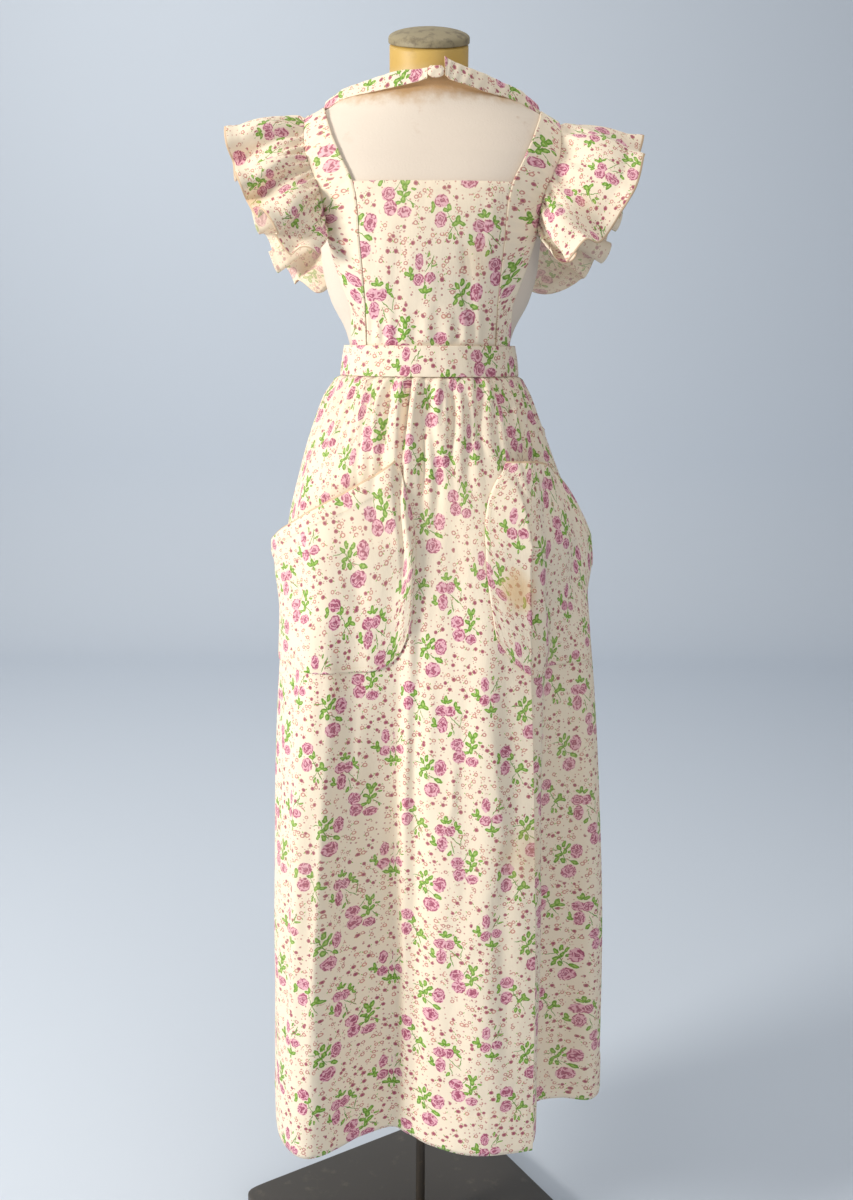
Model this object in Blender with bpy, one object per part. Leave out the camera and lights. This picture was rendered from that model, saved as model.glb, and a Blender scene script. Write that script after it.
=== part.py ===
"""Gathered maxi pinafore dress, worn by a limbless dress form on a pole and a square base.

Metres, +Z up, the origin under the middle of the base. The front of the dress faces -Y.
Each cloth piece is a thin closed wall: a grid of points on its outer face, and the same
grid moved in by the thickness of the cloth.
"""
import math

import bmesh
import bpy
import numpy as np

# ---------------------------------------------------------------- driving sizes (metres)
CLOTH = 0.0012              # one layer of cotton
SEAM = 0.0003               # air between pieces that are sewn together
EASE = 0.0021               # cloth stands off the form by this much
HEM_Z = 0.272               # bottom edge of the skirt
HIP_Z = 1.10                # height of the widest hip ring
HIP_LEAN = 0.0045           # above the hips the skirt hangs this much towards -X
SKIRT_TOP_Z = 1.3031        # skirt edge under the waistband
BAND_Z = (1.3036, 1.3416)   # waistband, lower and upper edge
BAND_THICK = 0.0022         # waistband is two layers and a stiffener
BAND_GAP = 0.0008           # pieces sewn to the top of the band start this far above it
WAIST_X = 0.1168            # half width of the waistband at its lower edge
WAIST_Y = 0.0950            # half depth of the waistband at its lower edge
BAND_TAPER = 0.0055         # the band is this much narrower at its upper edge
CENTRE_X = 0.006            # middle of the form and of the dress
GATHERS = 28                # gathers round the waist
PER_GATHER = 4              # grid columns in one gather
GATHER_DEEP = 0.0042        # half height of a gather just under the band
GATHER_FADE = 0.115         # gathers die away over this length
LAP = 0.030                 # lap of the waistband at the centre back
BUTTON_R = 0.0085           # waistband button
BUTTON_H = 0.0030
BUTTON_OFF = 0.0017
NECKLINE_Z = 1.533          # top edge of the bib
STRAP_HUB_Z = 1.500         # straps are laid out by angle round this height
RUFFLE_WAVES = 7            # folds in one shoulder ruffle
RUFFLE_DEEP = 0.0135        # half height of a ruffle fold at its free edge
NECK_R = 0.0490             # wooden neck
NECK_FOOT_Z = 1.6700
NECK_TOP_Z = 1.7080
CAP_R = 0.0505
CAP_RIM = 0.0065
CAP_DOME = 0.0125
CAP_TILT = 0.34             # the top of the neck slopes down to the front
FOOT_TILT = 0.10
POLE_R = 0.0069
BASE_SIDE = 0.406
BASE_H = 0.030
BASE_BEVEL = 0.004
BASE_TURN = math.radians(32.0)
ROUND_SIDES = 40            # columns of a ring of the form

# Form sections, bottom to top: height, half width, half depth, squareness, middle.
FORM_COLUMNS = ("z", "half_x", "half_y", "power", "mid_x")
FORM = (
    (1.100, 0.148, 0.103, 2.2, 0.006),
    (1.112, 0.154, 0.108, 2.2, 0.006),
    (1.180, 0.152, 0.109, 2.2, 0.006),
    (1.240, 0.131, 0.098, 2.2, 0.006),
    (1.290, 0.1095, 0.0865, 2.2, 0.006),
    (1.330, 0.1030, 0.0820, 2.2, 0.006),
    (1.360, 0.1090, 0.0840, 2.2, 0.006),
    (1.395, 0.1265, 0.0930, 2.3, 0.006),
    (1.430, 0.1365, 0.1060, 2.3, 0.006),
    (1.465, 0.1400, 0.1145, 2.4, 0.006),
    (1.500, 0.1460, 0.1145, 2.5, 0.006),
    (1.535, 0.1610, 0.1050, 2.6, 0.006),
    (1.570, 0.1710, 0.0910, 2.5, 0.006),
    (1.595, 0.1695, 0.0790, 2.3, 0.006),
    (1.614, 0.1570, 0.0700, 2.1, 0.005),
    (1.628, 0.1310, 0.0640, 2.0, 0.005),
    (1.640, 0.1085, 0.0590, 2.0, 0.004),
    (1.649, 0.0705, 0.0540, 2.0, 0.004),
    (1.658, 0.0505, 0.0495, 2.0, 0.003),
    (1.6695, 0.0488, 0.0488, 2.0, 0.003),
)

# Skirt rings in centimetres, the same cloth columns in both: x and y at the hip,
# x and y at the hem. They start left of the centre front and run towards +X.
RING_COLUMNS = ("hip_x", "hip_y", "hem_x", "hem_y")
SKIRT_RINGS = (
    (-3.4, -14.2, -4.0, -11.0),
    (-1.4, -14.3, -1.6, -12.2),
    (1.2, -14.6, 1.2, -15.6),
    (4.8, -14.8, 5.6, -16.8),
    (8.8, -14.4, 10.7, -16.8),
    (12.6, -13.4, 15.1, -15.7),
    (14.8, -11.6, 16.0, -12.8),
    (16.2, -8.8, 16.5, -6.0),
    (18.0, -6.6, 20.1, -4.4),
    (19.8, -4.2, 24.3, -4.8),
    (20.6, -0.5, 25.7, -1.5),
    (20.2, 3.2, 24.2, 3.5),
    (18.8, 6.6, 23.2, 8.0),
    (16.6, 9.4, 20.5, 12.0),
    (13.8, 11.4, 16.0, 13.2),
    (10.8, 12.9, 12.6, 16.8),
    (7.6, 13.9, 8.0, 17.6),
    (4.4, 14.3, 4.8, 14.0),
    (1.0, 14.3, 1.0, 13.4),
    (-2.4, 14.3, -2.5, 16.6),
    (-5.8, 13.9, -7.0, 17.8),
    (-9.0, 13.0, -10.6, 15.0),
    (-11.8, 11.6, -14.0, 14.8),
    (-14.6, 9.6, -17.4, 14.0),
    (-16.6, 7.0, -19.6, 9.5),
    (-17.6, 3.9, -18.8, 4.6),
    (-18.2, 0.5, -20.8, 0.5),
    (-17.8, -3.6, -20.2, -6.5),
    (-16.6, -7.4, -19.4, -13.4),
    (-14.8, -9.9, -17.6, -16.4),
    (-12.4, -11.8, -14.6, -17.8),
    (-9.6, -13.0, -11.6, -16.4),
    (-6.6, -13.8, -8.4, -13.6),
)
SKIRT_LEVELS = (
    1.3031, 1.2960, 1.2850, 1.2700, 1.2500, 1.2250, 1.1950, 1.1600, 1.1200,
    1.0700, 1.0000, 0.9200, 0.8200, 0.7000, 0.5700, 0.4400, 0.3350, 0.2720,
)

# Long soft drapes below the gathers: place round the skirt in turns of the ring,
# half width in turns, depth in metres (minus is a trough), heights of start and full.
DRAPE_COLUMNS = ("turn", "half_width", "depth", "start_z", "full_z")
DRAPES = (
    (0.020, 0.016, 0.0060, 1.27, 1.05),
    (0.065, 0.014, -0.0050, 1.24, 1.00),
    (0.105, 0.018, 0.0045, 1.20, 0.90),
    (0.300, 0.017, 0.0060, 1.26, 0.95),
    (0.345, 0.015, -0.0065, 1.26, 0.98),
    (0.405, 0.019, 0.0055, 1.22, 0.85),
    (0.465, 0.015, -0.0060, 1.27, 1.02),
    (0.530, 0.018, 0.0060, 1.25, 0.92),
    (0.585, 0.014, -0.0055, 1.26, 0.96),
    (0.640, 0.018, 0.0050, 1.20, 0.88),
    (0.760, 0.015, -0.0050, 1.22, 0.94),
    (0.815, 0.017, 0.0050, 1.24, 0.90),
    (0.905, 0.014, 0.0055, 1.22, 0.92),
    (0.955, 0.013, -0.0065, 1.27, 1.00),
)

# Strap and side front panel, front waist over the shoulder to the back waist:
# angle round the hub (degrees, 90 is straight up), inner and outer edge from the middle.
STRAP_COLUMNS = ("angle", "inner", "outer")
STRAP = (
    (-61.0, 0.0800, 0.0985),
    (-54.0, 0.0805, 0.1060),
    (-44.0, 0.0820, 0.1150),
    (-30.0, 0.0840, 0.1230),
    (-18.0, 0.0860, 0.1275),
    (0.0, 0.0880, 0.1290),
    (17.0, 0.0935, 0.1330),
    (35.0, 0.1070, 0.1430),
    (55.0, 0.1210, 0.1535),
    (75.0, 0.1310, 0.1560),
    (95.0, 0.1330, 0.1560),
    (115.0, 0.1280, 0.1550),
    (135.0, 0.1170, 0.1480),
    (155.0, 0.1030, 0.1400),
    (180.0, 0.0880, 0.1290),
    (205.0, 0.0730, 0.1170),
    (225.0, 0.0610, 0.1040),
    (241.0, 0.0500, 0.0900),
)
STRAP_ROWS = 40
STRAP_END_ROWS = 2              # rows that run straight down to the waistband
STRAP_ACROSS = 4

# Ruffle: way along its seam (0 front end, 1 back end), width, and the way it points:
# out from the middle, towards the back, up.
RUFFLE_COLUMNS = ("along", "width", "out", "back", "up")
RUFFLE = (
    (0.00, 0.012, 0.45, -0.35, -0.80),
    (0.06, 0.060, 0.50, -0.45, -0.74),
    (0.13, 0.086, 0.56, -0.45, -0.68),
    (0.25, 0.098, 0.84, -0.25, -0.48),
    (0.40, 0.106, 0.95, -0.12, -0.30),
    (0.52, 0.110, 0.98, 0.04, -0.22),
    (0.66, 0.112, 0.92, 0.22, -0.30),
    (0.80, 0.112, 0.88, 0.26, -0.42),
    (0.91, 0.092, 0.80, 0.24, -0.55),
    (1.00, 0.014, 0.55, 0.25, -0.80),
)
RUFFLE_ENDS = (-22.0, 224.0)    # strap angles where the ruffle starts and stops
RUFFLE_PUFF = 0.013         # the ruffle rises this much off its straight line
RUFFLE_ROWS = 65
RUFFLE_ACROSS = 5

# Pockets: turns of the ring at the inner and outer edge, top (mouth) and bottom.
POCKET_COLUMNS = ("name", "inner", "inner_top", "outer_low", "outer_top", "mouth_in_z",
                  "mouth_out_z", "bow", "foot_z", "gape", "ear")
POCKETS = (
    ("pocket_left", 1.042, -0.040, 0.812, 0.799, 1.204, 1.080, 0.9, 0.937, 0.011, 0.010),
    ("pocket_right", 0.107, 0.042, 0.285, 0.292, 1.202, 1.066, 4.0, 0.930, 0.014, 0.010),
)
POCKET_OFF = 0.0022         # patch pockets lie this far off the skirt at their edges
POCKET_ROUND = 0.058        # rise of the rounded foot corner
POCKET_ROWS = 12
POCKET_ACROSS = 14

# Neck ties: x and y of the middle line, lower and upper edge.
TIE_COLUMNS = ("x", "y", "low_z", "high_z")
TIE_LEFT = (
    (-0.1275, -0.0040, 1.6310, 1.6386),
    (-0.1050, -0.0215, 1.6385, 1.6500),
    (-0.0850, -0.0345, 1.6405, 1.6545),
    (-0.0600, -0.0465, 1.6430, 1.6600),
    (-0.0350, -0.0560, 1.6465, 1.6652),
    (-0.0120, -0.0620, 1.6507, 1.6657),
    (0.0011, -0.0650, 1.6545, 1.6672),
)
TIE_RIGHT = (
    (0.1415, -0.0040, 1.6282, 1.6364),
    (0.1180, -0.0215, 1.6352, 1.6500),
    (0.0950, -0.0355, 1.6392, 1.6565),
    (0.0720, -0.0475, 1.6425, 1.6640),
    (0.0480, -0.0580, 1.6485, 1.6700),
    (0.0300, -0.0650, 1.6525, 1.6755),
    (0.0224, -0.0675, 1.6575, 1.6795),
)
KNOT_AT = (0.0115, -0.0662, 1.6622)
KNOT_SIZE = (0.0106, 0.0055, 0.0080)


def clear_scene():
    """Start from an empty scene."""
    for item in list(bpy.data.objects):
        bpy.data.objects.remove(item, do_unlink=True)


def material(name, color, rough, metal):
    """A plain Principled material."""
    mat = bpy.data.materials.new(name)
    mat.use_nodes = True
    node = mat.node_tree.nodes["Principled BSDF"]
    node.inputs["Base Color"].default_value = (*color, 1.0)
    node.inputs["Roughness"].default_value = rough
    node.inputs["Metallic"].default_value = metal
    mat.diffuse_color = (*color, 1.0)
    return mat


def add_object(name, verts, faces, mat, smooth=True):
    """Link a mesh made of points and faces, with its normals pointing out."""
    mesh = bpy.data.meshes.new(name)
    mesh.from_pydata([tuple(map(float, v)) for v in verts], [], [tuple(f) for f in faces])
    work = bmesh.new()
    work.from_mesh(mesh)
    bmesh.ops.recalc_face_normals(work, faces=work.faces)
    work.to_mesh(mesh)
    work.free()
    mesh.materials.append(mat)
    for poly in mesh.polygons:
        poly.use_smooth = smooth
    obj = bpy.data.objects.new(name, mesh)
    bpy.context.scene.collection.objects.link(obj)
    return obj


def table(rows, columns, name):
    """One named column of a table as an array."""
    return np.array([row[columns.index(name)] for row in rows])


def smooth_step(t):
    """0 below 0, 1 above 1, soft in between."""
    t = np.clip(t, 0.0, 1.0)
    return t * t * (3.0 - 2.0 * t)


def spline(values, at, closed):
    """Catmull-Rom curve through evenly spaced values, read at `at` (0 to 1)."""
    values = np.asarray(values, dtype=float)
    count = len(values)
    spans = count if closed else count - 1
    pos = np.asarray(at, dtype=float) * spans
    low = np.floor(pos).astype(int)
    if not closed:
        low = np.clip(low, 0, spans - 1)
    frac = pos - low

    def pick(index):
        if closed:
            return values[np.mod(index, count)]
        return values[np.clip(index, 0, count - 1)]

    a, b, c, d = pick(low - 1), pick(low), pick(low + 1), pick(low + 2)
    return 0.5 * (2 * b + (c - a) * frac + (2 * a - 5 * b + 4 * c - d) * frac ** 2
                  + (3 * b - a - 3 * c + d) * frac ** 3)


def smooth_table(rows, columns, key, name, at):
    """A column read as a soft curve over another column that rises."""
    keys = table(rows, columns, key)
    even = np.interp(at, keys, np.linspace(0.0, 1.0, len(keys)))
    return spline(table(rows, columns, name), even, False)


# ---------------------------------------------------------------- the form
def form_section(z):
    """Half width, half depth, squareness and middle of the form at a height."""
    return tuple(smooth_table(FORM, FORM_COLUMNS, "z", name, z)
                 for name in ("half_x", "half_y", "power", "mid_x"))


def form_value(x, y, z):
    """Below 1 inside the form, 1 on its surface."""
    half_x, half_y, power, mid = form_section(z)
    return (np.abs((x - mid) / half_x) ** power + np.abs(y / half_y) ** power) ** (1.0 / power)


def form_front_y(x, z):
    """Depth of the front of the form at a place."""
    half_x, half_y, power, mid = form_section(z)
    side = np.clip(np.abs((x - mid) / half_x), 0.0, 0.995)
    return -half_y * (1.0 - side ** power) ** (1.0 / power)


def form_at_angle(x, angle):
    """Point of the form in the plane of x, seen from the hub at an angle (radians)."""
    x = np.asarray(x, dtype=float)
    near = np.zeros_like(x)
    far = np.full_like(x, 0.30)
    for _ in range(40):
        mid = 0.5 * (near + far)
        y = -mid * np.cos(angle)
        z = STRAP_HUB_Z + mid * np.sin(angle)
        inside = (form_value(x, y, np.clip(z, FORM[0][0], FORM[-1][0])) < 1.0) & (z < FORM[-1][0])
        near = np.where(inside, mid, near)
        far = np.where(inside, far, mid)
    return np.stack([x, -near * np.cos(angle), STRAP_HUB_Z + near * np.sin(angle)], axis=-1)


def ring_solid(name, rings, mat):
    """A closed solid through rings, with a flat fan at each end."""
    rings = np.asarray(rings)
    rows, cols = rings.shape[:2]
    verts = list(rings.reshape(-1, 3)) + [rings[0].mean(axis=0), rings[-1].mean(axis=0)]
    faces = []
    for r in range(rows - 1):
        for c in range(cols):
            n = (c + 1) % cols
            faces.append((r * cols + c, r * cols + n, (r + 1) * cols + n, (r + 1) * cols + c))
    for c in range(cols):
        n = (c + 1) % cols
        faces.append((n, c, rows * cols))
        faces.append(((rows - 1) * cols + c, (rows - 1) * cols + n, rows * cols + 1))
    return add_object(name, verts, faces, mat)


def build_form(mat):
    """The torso of the form, closed under the hips and at the neck."""
    turn = np.linspace(0.0, 2.0 * math.pi, ROUND_SIDES, endpoint=False)
    rings = []
    for z in table(FORM, FORM_COLUMNS, "z"):
        half_x, half_y, power, mid = form_section(z)
        side = np.sign(np.sin(turn)) * np.abs(np.sin(turn)) ** (2.0 / power)
        deep = np.sign(np.cos(turn)) * np.abs(np.cos(turn)) ** (2.0 / power)
        foot = FOOT_TILT * (-half_y * deep) if z > FORM[-2][0] else 0.0 * deep
        rings.append(np.stack([mid + half_x * side, -half_y * deep, z + foot], axis=-1))
    return ring_solid("form_torso", rings, mat)


def disc_rings(profile, tilts):
    """Rings of a round piece: radius and height pairs, each with its own slope."""
    turn = np.linspace(0.0, 2.0 * math.pi, ROUND_SIDES, endpoint=False)
    mid = table(FORM, FORM_COLUMNS, "mid_x")[-1]
    rings = []
    for (radius, height), tilt in zip(profile, tilts):
        y = -radius * np.cos(turn)
        rings.append(np.stack([mid + radius * np.sin(turn), y, height + tilt * y], axis=-1))
    return rings


def build_neck(band_mat, cap_mat):
    """Wooden neck and the domed cap on it; the cap slopes down to the front."""
    foot = ((NECK_R, NECK_FOOT_Z), (NECK_R, NECK_TOP_Z - 2 * SEAM))
    ring_solid("neck_band", disc_rings(foot, (FOOT_TILT, CAP_TILT)), band_mat)
    profile = [(CAP_R - 0.001, NECK_TOP_Z), (CAP_R, NECK_TOP_Z + 0.001),
               (CAP_R, NECK_TOP_Z + CAP_RIM)]
    for share in (0.33, 0.66, 0.88):
        bend = share * math.pi / 2
        profile.append((CAP_R * math.cos(bend), NECK_TOP_Z + CAP_RIM + CAP_DOME * math.sin(bend)))
    ring_solid("neck_cap", disc_rings(profile, [CAP_TILT] * len(profile)), cap_mat)


def build_stand(pole_mat, base_mat):
    """Pole from the base up to the underside of the form, and the square base."""
    turn = np.linspace(0.0, 2.0 * math.pi, 24, endpoint=False)
    rings = [np.stack([POLE_R * np.sin(turn), -POLE_R * np.cos(turn), 0 * turn + z], axis=-1)
             for z in (BASE_H + SEAM, FORM[0][0] - SEAM)]
    ring_solid("stand_pole", rings, pole_mat)
    half = BASE_SIDE / 2
    rings = []
    for inset, z in ((BASE_BEVEL, 0.0), (0.0, BASE_BEVEL), (0.0, BASE_H - BASE_BEVEL),
                     (BASE_BEVEL, BASE_H)):
        side = half - inset
        corners = [(-side, -side), (side, -side), (side, side), (-side, side)]
        cos, sin = math.cos(BASE_TURN), math.sin(BASE_TURN)
        rings.append([(x * cos - y * sin, x * sin + y * cos, z) for x, y in corners])
    obj = ring_solid("stand_base", rings, base_mat)
    for poly in obj.data.polygons:
        poly.use_smooth = False


# ---------------------------------------------------------------- cloth walls
def grid_normals(points, around, outward):
    """Unit normals of a grid, turned to the side given by `outward` (+1 or -1)."""
    if around:
        across = np.roll(points, -1, axis=1) - np.roll(points, 1, axis=1)
    else:
        across = np.gradient(points, axis=1)
    along = np.gradient(points, axis=0)
    normal = np.cross(across, along)
    normal /= np.maximum(np.linalg.norm(normal, axis=-1, keepdims=True), 1e-12)
    return normal * outward


def cloth_wall(name, points, mat, thick=CLOTH, around=False, outward=1.0):
    """Closed thin wall whose outer face is the grid."""
    points = np.asarray(points, dtype=float)
    rows, cols = points.shape[:2]
    inner = points - grid_normals(points, around, outward) * thick
    verts = np.concatenate([points.reshape(-1, 3), inner.reshape(-1, 3)])
    total = rows * cols
    faces = []
    spans = cols if around else cols - 1
    for r in range(rows - 1):
        for c in range(spans):
            n = (c + 1) % cols
            quad = (r * cols + c, r * cols + n, (r + 1) * cols + n, (r + 1) * cols + c)
            faces.append(quad)
            faces.append(tuple(total + i for i in reversed(quad)))
    for c in range(spans):
        n = (c + 1) % cols
        faces.append((c, total + c, total + n, n))
        top = (rows - 1) * cols
        faces.append((top + n, total + top + n, total + top + c, top + c))
    if not around:
        for r in range(rows - 1):
            a, b = r * cols, (r + 1) * cols
            faces.append((a, b, total + b, total + a))
            faces.append((a + cols - 1, total + a + cols - 1, total + b + cols - 1, b + cols - 1))
    return add_object(name, verts, faces, mat)


def ellipse(angle, half_x, half_y):
    """Points of an ellipse about the middle; angle 0 is the centre front."""
    return np.stack([CENTRE_X + half_x * np.sin(angle), -half_y * np.cos(angle)], axis=-1)


def ring_angle(turn):
    """Angle round the waist of a cloth column given in turns of the ring table."""
    hip_x = table(SKIRT_RINGS, RING_COLUMNS, "hip_x") / 100.0 - CENTRE_X
    hip_y = table(SKIRT_RINGS, RING_COLUMNS, "hip_y") / 100.0
    angle = np.unwrap(np.arctan2(hip_x, -hip_y))
    whole = np.concatenate([angle, angle[:1] + 2 * math.pi])
    return np.interp(np.mod(turn, 1.0), np.linspace(0, 1, len(whole)), whole)


def gather_phase(turn):
    """Uneven gathers: the phase grows faster where they are closer together."""
    full = 2.0 * math.pi
    uneven = (0.55 * np.sin(full * (3 * turn + 0.1)) + 0.40 * np.sin(full * (7 * turn + 0.45))
              + 0.25 * np.sin(full * (11 * turn + 0.8)))
    return full * GATHERS * turn + uneven


def skirt_columns():
    """Cloth columns in turns, set on the crests, troughs and middles of the gathers."""
    fine = np.linspace(0.0, 1.0, 4001)
    phase = gather_phase(fine)
    count = GATHERS * PER_GATHER
    wanted = phase[0] + 2.0 * math.pi * GATHERS * np.arange(count) / count
    return np.interp(wanted, phase, fine)


def skirt_point(turn, z):
    """Outer face of the skirt at a cloth column (turns) and a height."""
    turn, z = np.broadcast_arrays(np.asarray(turn, float), np.asarray(z, float))
    share = np.mod(turn, 1.0)
    ring = {name: spline(table(SKIRT_RINGS, RING_COLUMNS, name) / 100.0, share, True)
            for name in RING_COLUMNS}
    waist = ellipse(ring_angle(share), WAIST_X + 0.0008, WAIST_Y + 0.0008)
    hip = np.stack([ring["hip_x"], ring["hip_y"]], axis=-1)
    hem = np.stack([ring["hem_x"], ring["hem_y"]], axis=-1)
    upper = np.clip((SKIRT_TOP_Z - z) / (SKIRT_TOP_Z - HIP_Z), 0.0, 1.0)
    lower = np.clip((HIP_Z - z) / (HIP_Z - HEM_Z), 0.0, 1.0)
    swell = (np.sin(upper * math.pi / 2) * 0.35 + upper * 0.65)[..., None]
    fall = (1.0 - (1.0 - lower) ** 2)[..., None]
    flat = waist * (1 - swell) + hip * swell + (hem - hip) * fall
    flat = flat - np.stack([HIP_LEAN * np.sin(upper * math.pi), 0 * upper], axis=-1)
    out = flat - np.array([CENTRE_X + 0.006, 0.0])
    out = out / np.linalg.norm(out, axis=-1, keepdims=True)
    drop = SKIRT_TOP_Z - z
    rise = 0.45 + 0.55 * smooth_step(drop / 0.035)
    fade = 1.0 - smooth_step((drop - 0.02) / GATHER_FADE)
    uneven = 0.75 + 0.25 * np.sin(2 * math.pi * (5 * share + 0.3))
    push = GATHER_DEEP * rise * fade * uneven * np.cos(gather_phase(share))
    for row in DRAPES:
        place, half, depth, start, full = row
        away = np.abs(np.mod(share - place + 0.5, 1.0) - 0.5) / half
        bump = np.exp(-0.5 * away ** 2)
        push = push + depth * bump * smooth_step((start - z) / (start - full))
    flat = flat + out * push[..., None]
    return np.concatenate([flat, z[..., None]], axis=-1)


def build_skirt(mat):
    """The gathered skirt, one tube of cloth open at the waist and at the hem."""
    turn, z = np.meshgrid(skirt_columns(), np.array(SKIRT_LEVELS))
    return cloth_wall("skirt", skirt_point(turn, z), mat, around=True, outward=-1.0)


def build_waistband(mat, button_mat):
    """Waistband with its ends lapped at the centre back, and the button on the lap."""
    reach = LAP / 2 / WAIST_X
    angle = np.concatenate([
        np.linspace(-math.pi - reach, -math.pi + reach, 4),
        np.linspace(-math.pi + reach, math.pi - reach, 66)[1:-1],
        np.linspace(math.pi - reach, math.pi + reach, 4)])
    step = BAND_THICK + SEAM
    lift = step * smooth_step((-math.pi + 2.2 * reach - angle) / (1.1 * reach))
    rows = []
    for share in (0.0, 0.5, 1.0):
        z = BAND_Z[0] + (BAND_Z[1] - BAND_Z[0]) * share
        soft = 0.0004 * math.sin(math.pi * share)
        narrow = BAND_TAPER * share
        flat = ellipse(angle, WAIST_X - narrow, WAIST_Y - narrow)
        out = flat - np.array([CENTRE_X, 0.0])
        out = out / np.linalg.norm(out, axis=-1, keepdims=True)
        flat = flat + out * (lift + soft)[:, None]
        rows.append(np.concatenate([flat, np.full((len(angle), 1), z)], axis=-1))
    cloth_wall("waistband", rows, mat, thick=BAND_THICK)
    turn = np.linspace(0.0, 2.0 * math.pi, 16, endpoint=False)
    back = WAIST_Y - BAND_TAPER / 2 + step + BUTTON_OFF
    mid_z = sum(BAND_Z) / 2
    rings = []
    for radius, deep in ((BUTTON_R - 0.001, 0.0), (BUTTON_R, 0.0008),
                         (BUTTON_R, BUTTON_H - 0.0012), (BUTTON_R - 0.0012, BUTTON_H)):
        rings.append(np.stack([CENTRE_X - radius * np.sin(turn), 0 * turn + back + deep,
                               mid_z + radius * np.cos(turn)], axis=-1))
    ring_solid("waist_button", rings, button_mat)


def strap_surface(side, angle, across, lift):
    """Strap point: side is +1 for +X, across 0 inner edge to 1 outer edge."""
    inner = smooth_table(STRAP, STRAP_COLUMNS, "angle", "inner", angle)
    outer = smooth_table(STRAP, STRAP_COLUMNS, "angle", "outer", angle)
    x = CENTRE_X + 0.002 + side * (inner + (outer - inner) * across)
    point = form_at_angle(x, np.radians(angle))
    return point + form_slope(point) * np.asarray(lift)[..., None]


def form_slope(point):
    """Unit normal of the form near a point."""
    step = 0.0005
    parts = []
    for axis in range(3):
        move = np.zeros(3)
        move[axis] = step
        high, low = point + move, point - move
        parts.append(form_value(high[..., 0], high[..., 1], high[..., 2])
                     - form_value(low[..., 0], low[..., 1], low[..., 2]))
    slope = np.stack(parts, axis=-1)
    return slope / np.linalg.norm(slope, axis=-1, keepdims=True)


def rows_to_band(row):
    """Rows that lead from the end of a strap straight to the top edge of the waistband."""
    inset = BAND_TAPER + SEAM
    x = row[:, 0] - CENTRE_X
    deep = (WAIST_Y - inset) * np.sqrt(1.0 - (x / (WAIST_X - inset)) ** 2)
    foot = np.stack([row[:, 0], np.sign(row[:, 1]) * deep, 0 * x + BAND_Z[1] + BAND_GAP], axis=-1)
    share = np.linspace(0.0, 1.0, STRAP_END_ROWS + 1)[1:, None, None]
    return row + (foot - row) * share


def build_straps(mat):
    """Side front panels that run on as straps to the back waist."""
    fine = np.linspace(STRAP[0][0], STRAP[-1][0], 400)
    line = strap_surface(1, fine, np.zeros(400), np.zeros(400))
    run = np.concatenate([[0.0], np.cumsum(np.linalg.norm(np.diff(line, axis=0), axis=1))])
    angles = np.interp(np.linspace(0.0, run[-1], STRAP_ROWS), run, fine)
    across, angle = np.meshgrid(np.linspace(0, 1, STRAP_ACROSS), angles)
    edges = {}
    for name, side in (("strap_left", -1), ("strap_right", 1)):
        points = strap_surface(side, angle, across, np.full(angle.shape, EASE + CLOTH))
        points = np.concatenate([rows_to_band(points[0])[::-1], points, rows_to_band(points[-1])])
        cloth_wall(name, points, mat, outward=float(side))
        edges[side] = points[:, 0]
    return edges


def build_bib(mat, edges):
    """Middle panel of the bib, between the inner edges of the two side panels."""
    inner = edges[1][:STRAP_ROWS // 2, 2]
    heights = np.append(inner[inner < NECKLINE_Z - 0.004], NECKLINE_Z)
    limits = []
    for side in (-1, 1):
        line = edges[side][:STRAP_ROWS // 2]
        limits.append(np.interp(heights, line[:, 2], line[:, 0]) - side * SEAM * 4.0)
    rows = []
    for z, low, high in zip(heights, *limits):
        x = np.linspace(low, high, 13)
        y = form_front_y(x, np.full_like(x, z))
        point = np.stack([x, y, np.full_like(x, z)], axis=-1)
        point[:, 1] += (EASE + CLOTH) / form_slope(point)[:, 1]
        rows.append(point)
    cloth_wall("bib_center", rows, mat)


def build_ruffles(mat):
    """Shoulder ruffles, gathered along the outer edge of each strap."""
    along = np.linspace(0.0, 1.0, RUFFLE_ROWS)
    angle = RUFFLE_ENDS[0] + (RUFFLE_ENDS[1] - RUFFLE_ENDS[0]) * along
    reach = np.linspace(0.0, 1.0, RUFFLE_ACROSS)
    for name, side, shift, fuller in (("ruffle_left", -1, 0.6, 0.90),
                                      ("ruffle_right", 1, 0.0, 1.0)):
        lift = np.full_like(angle, EASE + CLOTH)
        seam = strap_surface(side, angle, np.full_like(angle, 1.0), lift)
        beside = seam - strap_surface(side, angle, np.full_like(angle, 0.8), lift)
        beside /= np.linalg.norm(beside, axis=-1, keepdims=True)
        seam = seam + beside * (SEAM + CLOTH)
        width = fuller * smooth_table(RUFFLE, RUFFLE_COLUMNS, "along", "width", along)
        way = np.stack([side * smooth_table(RUFFLE, RUFFLE_COLUMNS, "along", "out", along),
                        smooth_table(RUFFLE, RUFFLE_COLUMNS, "along", "back", along),
                        smooth_table(RUFFLE, RUFFLE_COLUMNS, "along", "up", along)], axis=-1)
        way /= np.linalg.norm(way, axis=-1, keepdims=True)
        tangent = np.gradient(seam, axis=0)
        tangent /= np.linalg.norm(tangent, axis=-1, keepdims=True)
        normal = np.cross(way, tangent) * side
        normal /= np.linalg.norm(normal, axis=-1, keepdims=True)
        phase = 2 * math.pi * (RUFFLE_WAVES * along + 0.35 * np.sin(2 * math.pi * (1.5 * along + shift)))
        wave = np.sin(phase + 2.0 * shift)
        ends = smooth_step(along / 0.06) * smooth_step((1 - along) / 0.06)
        rows = []
        for share in reach:
            lift = RUFFLE_DEEP * share ** 0.8 * wave * ends
            body = RUFFLE_PUFF * math.sin(math.pi * min(share, 0.8)) * ends
            rows.append(seam + way * (width * share)[:, None] + normal * (lift + body)[:, None])
        points = np.stack(rows, axis=1)
        cloth_wall(name, points, mat, outward=float(side))


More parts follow.
